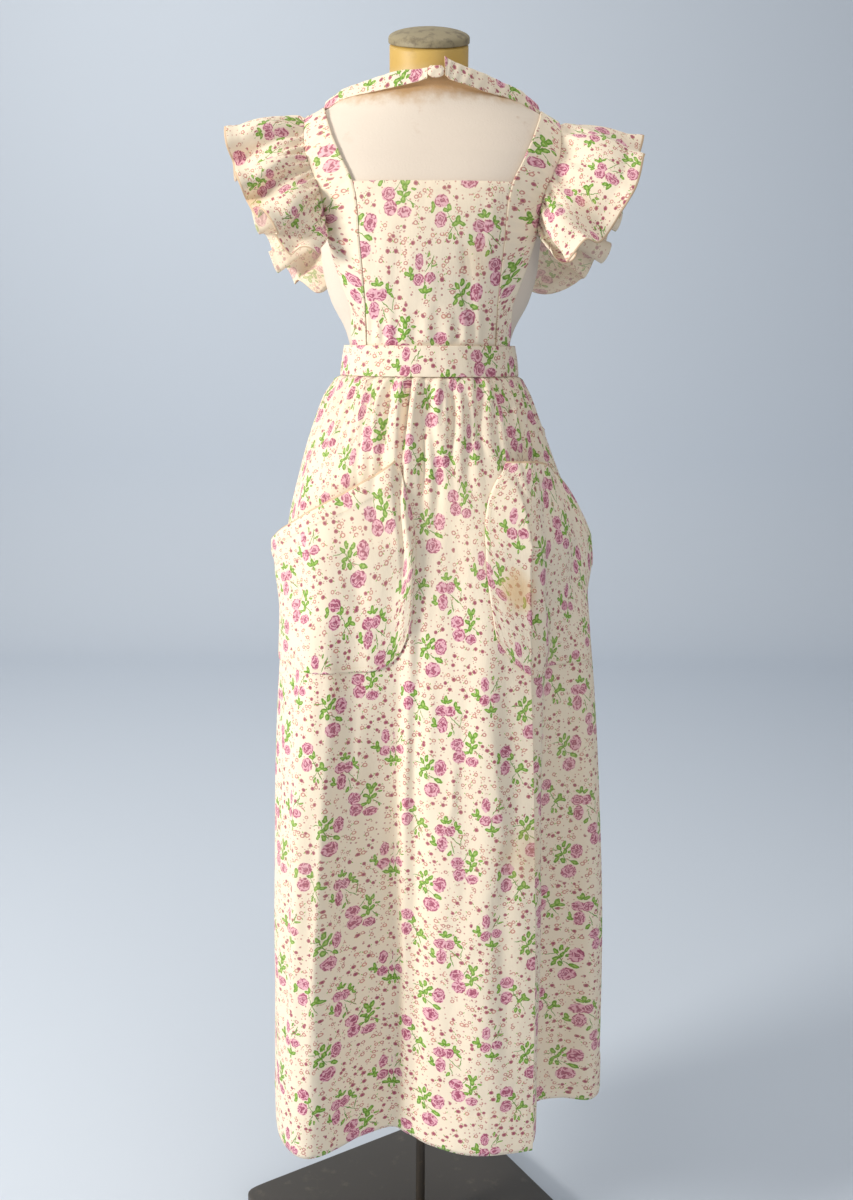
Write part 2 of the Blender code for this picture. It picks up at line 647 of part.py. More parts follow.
def build_pockets(mat):
    """Big patch pockets: sewn at the sides and foot, with a slanted mouth that gapes."""
    for row in POCKETS:
        spec = dict(zip(POCKET_COLUMNS, row))
        across, up = np.meshgrid(np.linspace(0, 1, POCKET_ACROSS), np.linspace(0, 1, POCKET_ROWS))
        drop = spec["mouth_out_z"] - spec["mouth_in_z"]
        mouth = spec["mouth_in_z"] + drop * across ** spec["bow"]
        corner = POCKET_ROUND * np.clip(1 - across / 0.30, 0, 1) ** 2.2
        foot = spec["foot_z"] + corner
        z = foot + (mouth - foot) * up
        side = -1.0 if spec["inner"] > 0.5 else 1.0
        inner = spec["inner"] + spec["inner_top"] * up ** 5 + 0.011 * side * (1 - up) ** 2
        outer = spec["outer_low"] + (spec["outer_top"] - spec["outer_low"]) * up
        turn = inner + (outer - inner) * across
        base = skirt_point(turn, z)
        out = base[..., :2] - np.array([CENTRE_X + 0.006, 0.0])
        out = out / np.linalg.norm(out, axis=-1, keepdims=True)
        open_top = smooth_step((up - 0.35) / 0.65)
        belly = np.sin(math.pi * np.clip(across, 0, 1)) ** 0.7
        ear = spec["ear"] * np.clip((across - 0.55) / 0.45, 0, 1) * smooth_step((up - 0.6) / 0.4)
        stand = SEAM + CLOTH + POCKET_OFF + spec["gape"] * open_top * belly + ear
        stand = stand + 0.002 * np.sin(math.pi * up) * belly
        base[..., :2] += out * stand[..., None]
        cloth_wall(spec["name"], base, mat, outward=side)


def build_ties(mat):
    """Neck ties from the shoulders to the knot in front of the neck."""
    for name, rows, side in (("tie_left", TIE_LEFT, -1), ("tie_right", TIE_RIGHT, 1)):
        at = np.linspace(0.0, 1.0, 14)
        x, y, low, high = (spline(table(rows, TIE_COLUMNS, column), at, False)
                           for column in TIE_COLUMNS)
        strip = []
        for share in (0.0, 0.5, 1.0):
            z = low + (high - low) * share
            lean = 0.004 * (share - 0.5)
            away = np.stack([x - CENTRE_X, y], axis=-1)
            away = away / np.linalg.norm(away, axis=-1, keepdims=True)
            strip.append(np.stack([x - away[:, 0] * lean, y - away[:, 1] * lean, z], axis=-1))
        cloth_wall(name, np.stack(strip, axis=1), mat, outward=float(side))
    rings = []
    turn = np.linspace(0.0, 2.0 * math.pi, 16, endpoint=False)
    for lat in np.radians((-72, -48, -22, 0, 22, 48, 72)):
        pinch = 1.0 - 0.16 * math.cos(lat) ** 6
        rings.append(np.stack([
            KNOT_AT[0] + KNOT_SIZE[0] * math.sin(lat) + 0 * turn,
            KNOT_AT[1] + KNOT_SIZE[1] * pinch * math.cos(lat) * np.cos(turn),
            KNOT_AT[2] + KNOT_SIZE[2] * pinch * math.cos(lat) * np.sin(turn)], axis=-1))
    ring_solid("tie_knot", rings, mat)


def main():
    """Build every piece."""
    clear_scene()
    print_cotton = material("print_cotton", (0.84, 0.78, 0.66), 0.88, 0.0)
    canvas = material("form_canvas", (0.76, 0.66, 0.56), 0.90, 0.0)
    neck = material("neck_paint", (0.78, 0.60, 0.26), 0.55, 0.0)
    cap = material("cap_wood", (0.50, 0.43, 0.32), 0.65, 0.0)
    pole = material("pole_steel", (0.20, 0.17, 0.15), 0.45, 0.9)
    plate = material("base_paint", (0.055, 0.055, 0.06), 0.60, 0.0)
    button = material("button_shell", (0.86, 0.82, 0.74), 0.35, 0.0)
    build_form(canvas)
    build_neck(neck, cap)
    build_stand(pole, plate)
    build_skirt(print_cotton)
    build_waistband(print_cotton, button)
    build_bib(print_cotton, build_straps(print_cotton))
    build_ruffles(print_cotton)
    build_pockets(print_cotton)
    build_ties(print_cotton)


main()
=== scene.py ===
"""Gathered floral pinafore dress on a limbless dress form, in metres, +Z up, front to -Y."""
import math

import bpy
import numpy as np
from bpy.props import FloatProperty, FloatVectorProperty, PointerProperty
from mathutils import Matrix


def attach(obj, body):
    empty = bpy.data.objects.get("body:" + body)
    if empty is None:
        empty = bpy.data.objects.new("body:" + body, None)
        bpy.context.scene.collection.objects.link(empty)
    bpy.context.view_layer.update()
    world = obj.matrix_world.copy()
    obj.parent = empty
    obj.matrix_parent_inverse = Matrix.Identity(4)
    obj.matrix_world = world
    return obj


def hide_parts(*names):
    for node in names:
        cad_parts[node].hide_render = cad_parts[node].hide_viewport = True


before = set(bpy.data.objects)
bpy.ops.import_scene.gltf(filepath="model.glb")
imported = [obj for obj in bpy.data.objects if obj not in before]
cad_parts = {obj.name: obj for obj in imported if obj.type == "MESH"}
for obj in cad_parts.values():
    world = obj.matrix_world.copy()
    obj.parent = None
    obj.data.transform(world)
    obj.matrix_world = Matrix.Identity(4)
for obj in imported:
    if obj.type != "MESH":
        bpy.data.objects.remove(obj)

bl_info = {
    "name": "Floral pinafore dress",
    "version": (1, 0, 0),
    "blender": (4, 5, 0),
    "location": "View3D > Sidebar > Pinafore",
    "description": "Builds a gathered floral pinafore dress on a dress form",
    "category": "Add Mesh",
}

# ---------------------------------------------------------------- sizes shared by the pieces
CLOTH = 0.0012
SEAM = 0.0003
EASE = 0.0021
HEM_Z = 0.272
HIP_Z = 1.10
HIP_LEAN = 0.0045
SKIRT_TOP_Z = 1.3031
BAND_Z = (1.3036, 1.3416)
BAND_THICK = 0.0022
BAND_TAPER = 0.0055
WAIST_X = 0.1168
WAIST_Y = 0.0950
CENTRE_X = 0.006
SKIRT_MID_X = 0.012
GATHERS = 28
GATHER_DEEP = 0.0042
GATHER_FADE = 0.115
SKIRT_TURNS = 400
SMALL_CREASES = 90
HEM_STITCH_Z = 0.3295
BAND_TUCK = 0.005          # straps and bib run this far down inside the waistband
BIB_TUCK = 0.0030          # the bib's side edges lie this far under the straps
STRAP_CELLS = (260, 22)    # rows and columns of a strap's grid
STRAP_LEAD = 18            # rows at each end that lead into the waistband
SHOULDER_FILL = 0.03       # share by which the form is wider right under the ties
LAP = 0.030
BUTTON_R = 0.0085
BUTTON_H = 0.0030
BUTTON_OFF = 0.0017
NECKLINE_Z = 1.533
STRAP_HUB_Z = 1.500
STRAP_MID_X = 0.008
RUFFLE_WAVES = 7
RUFFLE_DEEP = 0.0160
RUFFLE_PUFF = 0.013
RUFFLE_LEAN = 0.0072       # the folds of the ruffles lean over their own sides by this
RUFFLE_SMALL = 0.0036      # small gathers near the ruffles' seam
RUFFLE_ENDS = (-22.0, 224.0)
NECK_R = 0.0490
NECK_X = 0.003
NECK_FOOT_Z = 1.6700
NECK_TOP_Z = 1.7080
CAP_R = 0.0505
CAP_RIM = 0.0065
CAP_DOME = 0.0125
CAP_TILT = 0.34
FOOT_TILT = 0.10
POLE_R = 0.0069
BASE_SIDE = 0.406
BASE_H = 0.030
BASE_TURN = math.radians(32.0)
FULL = 2.0 * math.pi

FORM_COLUMNS = ("z", "half_x", "half_y", "power", "mid_x")
FORM = (
    (1.100, 0.148, 0.103, 2.2, 0.006),
    (1.112, 0.154, 0.108, 2.2, 0.006),
    (1.180, 0.152, 0.109, 2.2, 0.006),
    (1.240, 0.131, 0.098, 2.2, 0.006),
    (1.290, 0.1095, 0.0865, 2.2, 0.006),
    (1.330, 0.1030, 0.0820, 2.2, 0.006),
    (1.360, 0.1090, 0.0840, 2.2, 0.006),
    (1.395, 0.1265, 0.0930, 2.3, 0.006),
    (1.430, 0.1365, 0.1060, 2.3, 0.006),
    (1.465, 0.1400, 0.1145, 2.4, 0.006),
    (1.500, 0.1460, 0.1145, 2.5, 0.006),
    (1.535, 0.1610, 0.1050, 2.6, 0.006),
    (1.570, 0.1710, 0.0910, 2.5, 0.006),
    (1.595, 0.1695, 0.0790, 2.3, 0.006),
    (1.614, 0.1570, 0.0700, 2.1, 0.005),
    (1.628, 0.1310, 0.0640, 2.0, 0.005),
    (1.640, 0.1085, 0.0590, 2.0, 0.004),
    (1.649, 0.0705, 0.0540, 2.0, 0.004),
    (1.658, 0.0505, 0.0495, 2.0, 0.003),
    (1.6695, 0.0488, 0.0488, 2.0, 0.003),
)
RING_COLUMNS = ("hip_x", "hip_y", "hem_x", "hem_y")
SKIRT_RINGS = (
    (-3.4, -14.2, -4.0, -11.0), (-1.4, -14.3, -1.6, -12.2), (1.2, -14.6, 1.2, -15.6),
    (4.8, -14.8, 5.6, -16.8), (8.8, -14.4, 10.7, -16.8), (12.6, -13.4, 15.1, -15.7),
    (14.8, -11.6, 16.0, -12.8), (16.2, -8.8, 16.5, -6.0), (18.0, -6.6, 20.1, -4.4),
    (19.8, -4.2, 24.3, -4.8), (20.6, -0.5, 25.7, -1.5), (20.2, 3.2, 24.2, 3.5),
    (18.8, 6.6, 23.2, 8.0), (16.6, 9.4, 20.5, 12.0), (13.8, 11.4, 16.0, 13.2),
    (10.8, 12.9, 12.6, 16.8), (7.6, 13.9, 8.0, 17.6), (4.4, 14.3, 4.8, 14.0),
    (1.0, 14.3, 1.0, 13.4), (-2.4, 14.3, -2.5, 16.6), (-5.8, 13.9, -7.0, 17.8),
    (-9.0, 13.0, -10.6, 15.0), (-11.8, 11.6, -14.0, 14.8), (-14.6, 9.6, -17.4, 14.0),
    (-16.6, 7.0, -19.6, 9.5), (-17.6, 3.9, -18.8, 4.6), (-18.2, 0.5, -20.8, 0.5),
    (-17.8, -3.6, -20.2, -6.5), (-16.6, -7.4, -19.4, -13.4), (-14.8, -9.9, -17.6, -16.4),
    (-12.4, -11.8, -14.6, -17.8), (-9.6, -13.0, -11.6, -16.4), (-6.6, -13.8, -8.4, -13.6),
)
DRAPE_COLUMNS = ("turn", "half_width", "depth", "start_z", "full_z")
DRAPES = (
    (0.020, 0.016, 0.0060, 1.27, 1.05), (0.065, 0.014, -0.0050, 1.24, 1.00),
    (0.105, 0.018, 0.0045, 1.20, 0.90), (0.300, 0.017, 0.0060, 1.26, 0.95),
    (0.345, 0.015, -0.0065, 1.26, 0.98), (0.405, 0.019, 0.0055, 1.22, 0.85),
    (0.465, 0.015, -0.0060, 1.27, 1.02), (0.530, 0.018, 0.0060, 1.25, 0.92),
    (0.585, 0.014, -0.0055, 1.26, 0.96), (0.640, 0.018, 0.0050, 1.20, 0.88),
    (0.760, 0.015, -0.0050, 1.22, 0.94), (0.815, 0.017, 0.0050, 1.24, 0.90),
    (0.905, 0.014, 0.0055, 1.22, 0.92), (0.955, 0.013, -0.0065, 1.27, 1.00),
)
# Creases pressed into the skirt, each on its own line: turns at the top and foot of the
# line, heights of both ends, half width in metres, depth (minus is a trough).
CREASE_COLUMNS = ("turn_top", "turn_low", "top_z", "low_z", "half", "depth")
SKIRT_CREASES = (
    (0.904, 0.900, 1.34, 1.17, 0.0040, -0.0040), (0.937, 0.932, 1.34, 1.19, 0.0036, -0.0036),
    (0.966, 0.958, 1.34, 1.15, 0.0036, -0.0044), (0.984, 0.978, 1.34, 1.20, 0.0030, -0.0034),
    (0.014, 0.012, 1.36, 1.02, 0.0038, -0.0048), (0.046, 0.048, 1.34, 1.12, 0.0034, -0.0050),
    (0.062, 0.068, 1.34, 1.08, 0.0040, -0.0044), (0.080, 0.090, 1.34, 1.17, 0.0034, -0.0036),
    (0.099, 0.110, 1.34, 1.13, 0.0040, -0.0044), (0.120, 0.128, 1.34, 1.18, 0.0034, -0.0036),
    (0.142, 0.150, 1.34, 1.14, 0.0038, -0.0040), (0.176, 0.190, 1.34, 1.12, 0.0042, -0.0040),
    (0.028, 0.030, 1.32, 0.95, 0.0060, 0.0036), (0.000, 0.996, 1.32, 1.02, 0.0050, 0.0030),
    (0.925, 0.926, 1.08, 0.20, 0.0060, 0.0042), (0.940, 0.941, 1.05, 0.20, 0.0080, -0.0046),
    (0.005, 0.008, 1.02, 0.22, 0.0070, -0.0042), (0.024, 0.026, 0.98, 0.22, 0.0060, 0.0030),
    (0.040, 0.041, 1.10, 0.22, 0.0055, -0.0036), (0.060, 0.064, 1.00, 0.40, 0.0090, 0.0026),
    (0.088, 0.089, 1.22, 0.24, 0.0080, -0.0042), (0.112, 0.110, 1.05, 0.30, 0.0090, 0.0024),
    (0.128, 0.124, 0.98, 0.34, 0.0060, -0.0026), (0.092, 0.056, 0.84, 0.66, 0.0026, 0.0022),
    (0.118, 0.096, 0.66, 0.50, 0.0030, -0.0018), (0.975, 0.990, 0.80, 0.60, 0.0032, 0.0018),
    (0.960, 0.962, 0.94, 0.30, 0.0060, 0.0028), (0.978, 0.974, 0.86, 0.24, 0.0070, -0.0030),
    (0.905, 0.903, 0.92, 0.24, 0.0080, -0.0036), (0.884, 0.890, 0.94, 0.30, 0.0070, 0.0032),
    (0.868, 0.866, 0.90, 0.30, 0.0080, -0.0030), (0.178, 0.180, 1.04, 0.30, 0.0070, 0.0026),
    (0.205, 0.208, 1.00, 0.26, 0.0080, -0.0034), (0.236, 0.240, 0.98, 0.26, 0.0080, 0.0036),
    (0.262, 0.258, 0.95, 0.28, 0.0080, -0.0030), (0.225, 0.214, 0.70, 0.52, 0.0036, 0.0018),
    (0.330, 0.322, 1.32, 0.80, 0.0060, -0.0034), (0.372, 0.380, 1.30, 0.40, 0.0070, -0.0040),
    (0.392, 0.396, 1.20, 0.30, 0.0070, 0.0034), (0.430, 0.424, 1.32, 0.50, 0.0060, -0.0040),
    (0.490, 0.500, 1.32, 0.30, 0.0065, -0.0044), (0.515, 0.520, 1.15, 0.30, 0.0070, 0.0032),
    (0.552, 0.546, 1.32, 0.62, 0.0060, -0.0036), (0.610, 0.620, 1.30, 0.30, 0.0070, -0.0040),
    (0.668, 0.660, 1.32, 0.75, 0.0065, -0.0034), (0.715, 0.722, 1.30, 0.40, 0.0070, -0.0038),
    (0.742, 0.744, 1.10, 0.30, 0.0080, 0.0034), (0.782, 0.770, 1.25, 0.34, 0.0075, -0.0036),
    (0.830, 0.836, 1.00, 0.40, 0.0080, 0.0028),
)
# Folds with a crisp edge: the cloth stands out before it and is set back after it.
EDGE_COLUMNS = ("turn", "top_z", "full_z", "before", "after", "run")
SKIRT_EDGES = (
    (0.1500, 1.22, 1.06, 0.0040, 0.0070, 0.010), (0.9330, 1.02, 0.90, 0.0012, 0.0016, 0.008),
    (0.4500, 1.20, 0.95, 0.0030, 0.0040, 0.010), (0.6400, 1.15, 0.90, 0.0026, 0.0034, 0.010),
)
# The same kind of line on the pockets, by their own across and up (0 to 1).
POCKET_CREASES = {
    "pocket_left": ((0.26, 0.02, 0.98, 0.30, 0.06, -0.0040), (0.50, 0.30, 0.90, 0.10, 0.07, 0.0040),
                    (0.70, 0.62, 0.98, 0.30, 0.06, -0.0044), (0.90, 0.74, 0.85, 0.15, 0.06, 0.0034),
                    (0.40, 0.16, 0.60, 0.02, 0.03, -0.0022)),
    "pocket_right": ((0.20, 0.34, 0.98, 0.15, 0.06, 0.0040), (0.38, 0.50, 0.95, 0.05, 0.05, -0.0046),
                     (0.60, 0.66, 0.98, 0.25, 0.07, 0.0036), (0.80, 0.88, 0.90, 0.20, 0.05, -0.0040),
                     (0.30, 0.52, 0.45, 0.02, 0.03, 0.0022)),
}
BIB_CREASES = (
    (0.30, 0.22, 0.80, 0.10, 0.035, -0.0016), (0.72, 0.80, 0.70, 0.05, 0.030, -0.0018),
    (0.50, 0.46, 0.55, 0.02, 0.040, 0.0014), (0.12, 0.10, 0.95, 0.40, 0.030, -0.0012),
    (0.88, 0.90, 0.98, 0.45, 0.030, 0.0012),
)
STRAP_COLUMNS = ("angle", "inner", "outer")
STRAP = (
    (-61.0, 0.0800, 0.0985), (-54.0, 0.0805, 0.1060), (-44.0, 0.0820, 0.1150),
    (-30.0, 0.0840, 0.1230), (-18.0, 0.0860, 0.1275), (0.0, 0.0880, 0.1290),
    (17.0, 0.0935, 0.1330), (35.0, 0.1070, 0.1430), (55.0, 0.1210, 0.1535),
    (75.0, 0.1310, 0.1560), (95.0, 0.1330, 0.1560), (115.0, 0.1280, 0.1550),
    (135.0, 0.1170, 0.1480), (155.0, 0.1030, 0.1400), (180.0, 0.0880, 0.1290),
    (205.0, 0.0730, 0.1170), (225.0, 0.0610, 0.1040), (241.0, 0.0500, 0.0900),
)
RUFFLE_COLUMNS = ("along", "width", "out", "back", "up")
RUFFLE = (
    (0.00, 0.012, 0.45, -0.35, -0.80), (0.06, 0.060, 0.50, -0.45, -0.74),
    (0.13, 0.086, 0.56, -0.45, -0.68), (0.25, 0.098, 0.84, -0.25, -0.48),
    (0.40, 0.106, 0.95, -0.12, -0.30), (0.52, 0.110, 0.98, 0.04, -0.22),
    (0.66, 0.112, 0.92, 0.22, -0.30), (0.80, 0.112, 0.88, 0.26, -0.42),
    (0.91, 0.092, 0.80, 0.24, -0.55), (1.00, 0.014, 0.55, 0.25, -0.80),
)
POCKET_COLUMNS = ("name", "inner", "inner_top", "outer_low", "outer_top", "mouth_in_z",
                  "mouth_out_z", "bow", "foot_z", "gape", "ear", "slack")
POCKETS = (
    ("pocket_left", 1.042, -0.040, 0.812, 0.799, 1.204, 1.080, 0.9, 0.937, 0.0190, 0.010, 0.08),
    ("pocket_right", 0.107, 0.042, 0.285, 0.292, 1.202, 1.066, 4.0, 0.930, 0.014, 0.010, 0.15),
)
POCKET_ROUND = 0.058
POCKET_OFF = 0.0022
POCKET_CELLS = (110, 100)
POCKET_HOLLOW = 0.0075     # the skirt is pushed in by up to this behind a pocket's mouth
TIE_COLUMNS = ("x", "y", "low_z", "high_z")
TIE_LEFT = (
    (-0.1275, -0.0040, 1.6310, 1.6386), (-0.1050, -0.0215, 1.6385, 1.6500),
    (-0.0850, -0.0345, 1.6405, 1.6545), (-0.0600, -0.0465, 1.6430, 1.6600),
    (-0.0350, -0.0560, 1.6465, 1.6652), (-0.0120, -0.0620, 1.6507, 1.6657),
    (0.0011, -0.0650, 1.6545, 1.6672),
)
TIE_RIGHT = (
    (0.1415, -0.0040, 1.6282, 1.6364), (0.1180, -0.0215, 1.6352, 1.6500),
    (0.0950, -0.0355, 1.6392, 1.6565), (0.0720, -0.0475, 1.6425, 1.6640),
    (0.0480, -0.0580, 1.6485, 1.6700), (0.0300, -0.0650, 1.6525, 1.6755),
    (0.0224, -0.0675, 1.6575, 1.6795),
)
TIE_SAG = 0.0034           # the ties' low edges hang lower by this at the shoulders
KNOT_AT = (0.0115, -0.0662, 1.6622)
KNOT_SIZE = (0.0106, 0.0055, 0.0080)


# Where the print starts on each piece, in metres of cloth.
PRINT_START = {
    "skirt": (0.012, 0.030), "waistband": (0.335, 0.022), "bib_center": (0.309, 0.105),
    "strap_left": (0.300, 0.105), "strap_right": (0.492, 0.105),
    "ruffle_left": (0.55, 0.12), "ruffle_right": (1.02, 0.31),
    "pocket_left": (0.93, 0.43), "pocket_right": (0.61, 0.66),
    "tie_left": (0.20, 0.40), "tie_right": (0.48, 0.55),
}

WALL_Y = 4.2
WALL_BEND = 0.8            # the floor bends up into the wall with this radius
STAGE_FRONT_Y = -5.0
STAGE_SIZE = 6.0           # half width of the floor, and height of the wall
LIGHT_COLUMNS = ("name", "at", "aim", "size", "power")
LIGHTS = (
    ("light_key", (-2.8, -1.4, 1.90), (0.0, 0.0, 0.95), 0.9, 106.0),
    ("light_fill", (1.4, -2.9, 1.7), (0.0, 0.0, 0.9), 2.2, 18.0),
    ("light_top", (0.2, -0.4, 3.6), (0.0, 0.2, 0.8), 2.0, 22.0),
    ("light_wall", (-1.6, 1.4, 3.6), (0.0, 4.2, 1.5), 2.6, 50.0),
)
LIGHT_COLOR = (1.0, 0.96, 0.89)
SKY_COLOR = (0.90, 0.95, 1.0, 1.0)
SKY_STRENGTH = 0.31
CAMERA_AT = (0.004, -1.60, 1.345)
CAMERA_DOWN = 12.1         # degrees below level
CAMERA_ROLL = 0.35
CAMERA_LENS = 36.0         # also the width of its sensor


# ---------------------------------------------------------------- curves and sections
def table(rows, columns, name):
    """One named column of a table as an array."""
    return np.array([row[columns.index(name)] for row in rows])


def soft(t):
    """0 below 0, 1 above 1, with a soft start and end in between."""
    t = np.clip(t, 0.0, 1.0)
    return t * t * (3.0 - 2.0 * t)


def spline(values, at, closed):
    """Catmull-Rom curve through evenly spaced values, read at `at` from 0 to 1."""
    values = np.asarray(values, dtype=float)
    count = len(values)
    spans = count if closed else count - 1
    pos = np.asarray(at, dtype=float) * spans
    low = np.floor(pos).astype(int)
    if not closed:
        low = np.clip(low, 0, spans - 1)
    t = pos - low

    def pick(i):
        """Values at whole places, wrapped or held at the ends."""
        return values[np.mod(i, count)] if closed else values[np.clip(i, 0, count - 1)]

    a, b, c, d = pick(low - 1), pick(low), pick(low + 1), pick(low + 2)
    return 0.5 * (2 * b + (c - a) * t + (2 * a - 5 * b + 4 * c - d) * t ** 2
                  + (3 * b - a - 3 * c + d) * t ** 3)


def column_at(rows, columns, key, name, at):
    """A column read as a soft curve over another column that rises."""
    keys = table(rows, columns, key)
    even = np.interp(at, keys, np.linspace(0.0, 1.0, len(keys)))
    return spline(table(rows, columns, name), even, False)


def unit(vectors):
    """Vectors scaled to length 1."""
    return vectors / np.maximum(np.linalg.norm(vectors, axis=-1, keepdims=True), 1e-12)


def grid(rows, cols, low=0.0, high=1.0):
    """(across, along) arrays from 0 to 1, `rows` by `cols`."""
    return np.meshgrid(np.linspace(low, high, cols), np.linspace(0.0, 1.0, rows))


def run_along(line):
    """Run of each point of a line from its start."""
    return np.concatenate([[0.0], np.cumsum(np.linalg.norm(np.diff(line, axis=0), axis=1))])


def form_section(z):
    """Half width, half depth, power and middle of the form at a height."""
    return [column_at(FORM, FORM_COLUMNS, "z", name, z) for name in FORM_COLUMNS[1:]]


def form_value(x, y, z):
    """Superellipse value of the form: below 1 inside it, 1 on its surface."""
    half_x, half_y, power, mid = form_section(z)
    return (np.abs((x - mid) / half_x) ** power + np.abs(y / half_y) ** power) ** (1.0 / power)


def form_front_y(x, z):
    """Depth of the front of the form at a place."""
    half_x, half_y, power, mid = form_section(z)
    side = np.clip(np.abs((x - mid) / half_x), 0.0, 0.995)
    return -half_y * (1.0 - side ** power) ** (1.0 / power)


def form_slope(point):
    """Unit normal of the form, from small steps along each axis."""
    parts = []
    for axis in range(3):
        move = np.zeros(3)
        move[axis] = 0.0005
        a, b = point + move, point - move
        parts.append(form_value(a[..., 0], a[..., 1], a[..., 2])
                     - form_value(b[..., 0], b[..., 1], b[..., 2]))
    return unit(np.stack(parts, axis=-1))


def form_at_angle(x, angle):
    """Surface point in the plane of x, at an angle round the hub height, found by halving."""
    near, far = np.zeros_like(x), np.full_like(x, 0.30)
    for _ in range(40):
        mid = 0.5 * (near + far)
        z = STRAP_HUB_Z + mid * np.sin(angle)
        value = form_value(x, -mid * np.cos(angle), np.clip(z, FORM[0][0], FORM[-1][0]))
        inside = (value < 1.0) & (z < FORM[-1][0])
        near, far = np.where(inside, mid, near), np.where(inside, far, mid)
    return np.stack([x, -near * np.cos(angle), STRAP_HUB_Z + near * np.sin(angle)], axis=-1)


def strap_surface(side, angle, across, lift):
    """Strap point at an angle round the hub, 0 inner edge to 1 outer edge, lifted off the form."""
    inner = column_at(STRAP, STRAP_COLUMNS, "angle", "inner", angle)
    outer = column_at(STRAP, STRAP_COLUMNS, "angle", "outer", angle)
    x = STRAP_MID_X + side * (inner + (outer - inner) * across)
    point = form_at_angle(x, np.radians(angle))
    return point + form_slope(point) * np.asarray(lift)[..., None]


def ellipse(angle, half_x, half_y):
    """Points of an ellipse about the middle; angle 0 is the centre front."""
    return np.stack([CENTRE_X + half_x * np.sin(angle), -half_y * np.cos(angle)], axis=-1)


def ring_angle(turn):
    """Angle round the waist of a cloth column given in turns of the ring table."""
    hip_x = table(SKIRT_RINGS, RING_COLUMNS, "hip_x") / 100.0 - CENTRE_X
    hip_y = table(SKIRT_RINGS, RING_COLUMNS, "hip_y") / 100.0
    angle = np.unwrap(np.arctan2(hip_x, -hip_y))
    whole = np.concatenate([angle, angle[:1] + FULL])
    return np.interp(np.mod(turn, 1.0), np.linspace(0, 1, len(whole)), whole)


def gather_phase(turn):
    """Uneven gathers: the phase grows faster where they are closer together."""
    uneven = (0.55 * np.sin(FULL * (3 * turn + 0.1)) + 0.40 * np.sin(FULL * (7 * turn + 0.45))
              + 0.25 * np.sin(FULL * (11 * turn + 0.8)))
    return FULL * GATHERS * turn + uneven


def crease_push(across, up, rows, wrap):
    """Sum of soft lines: a bell across each line, fading in and out along its length.

    Each row gives the place at the top and foot, both heights, half width and depth."""
    push = np.zeros(np.broadcast(across, up).shape)
    for top, foot, high, low, half, depth in rows:
        t = (high - up) / (high - low)
        line = top + (foot - top) * t + 0.004 * np.sin(9.0 * t + 40.0 * top)
        away = across - line
        if wrap:
            away = np.mod(away + 0.5, 1.0) - 0.5
        fade = soft(t / 0.25) * soft((1.0 - t) / 0.35)
        push += depth * np.exp(-0.5 * (away / half) ** 2) * fade
    return push


def edge_push(share, z):
    """Crisp folds: out by `before` up to the edge, then back by `after`, both dying away."""
    push = np.zeros(share.shape)
    for place, top, full, before, after, run in SKIRT_EDGES:
        past = np.mod(share - place + 0.5, 1.0) - 0.5
        behind = soft(past / 0.0016)
        shape = (before * np.exp(-np.abs(past) / run) * (1.0 - behind)
                 - after * np.exp(-np.abs(past) / (2.5 * run)) * behind)
        push += shape * soft((top - z) / (top - full))
    return push


def skirt_turns(count):
    """Even turns round the skirt, with closer ones at the crisp folds."""
    extra = [row[0] + np.linspace(-0.0030, 0.0042, 19) for row in SKIRT_EDGES]
    return np.unique(np.round(np.concatenate([np.arange(count) / count, *extra]), 5))


def skirt_outward(flat):
    """Level unit vector away from the middle of the skirt."""
    return unit(flat - np.array([SKIRT_MID_X, 0.0]))


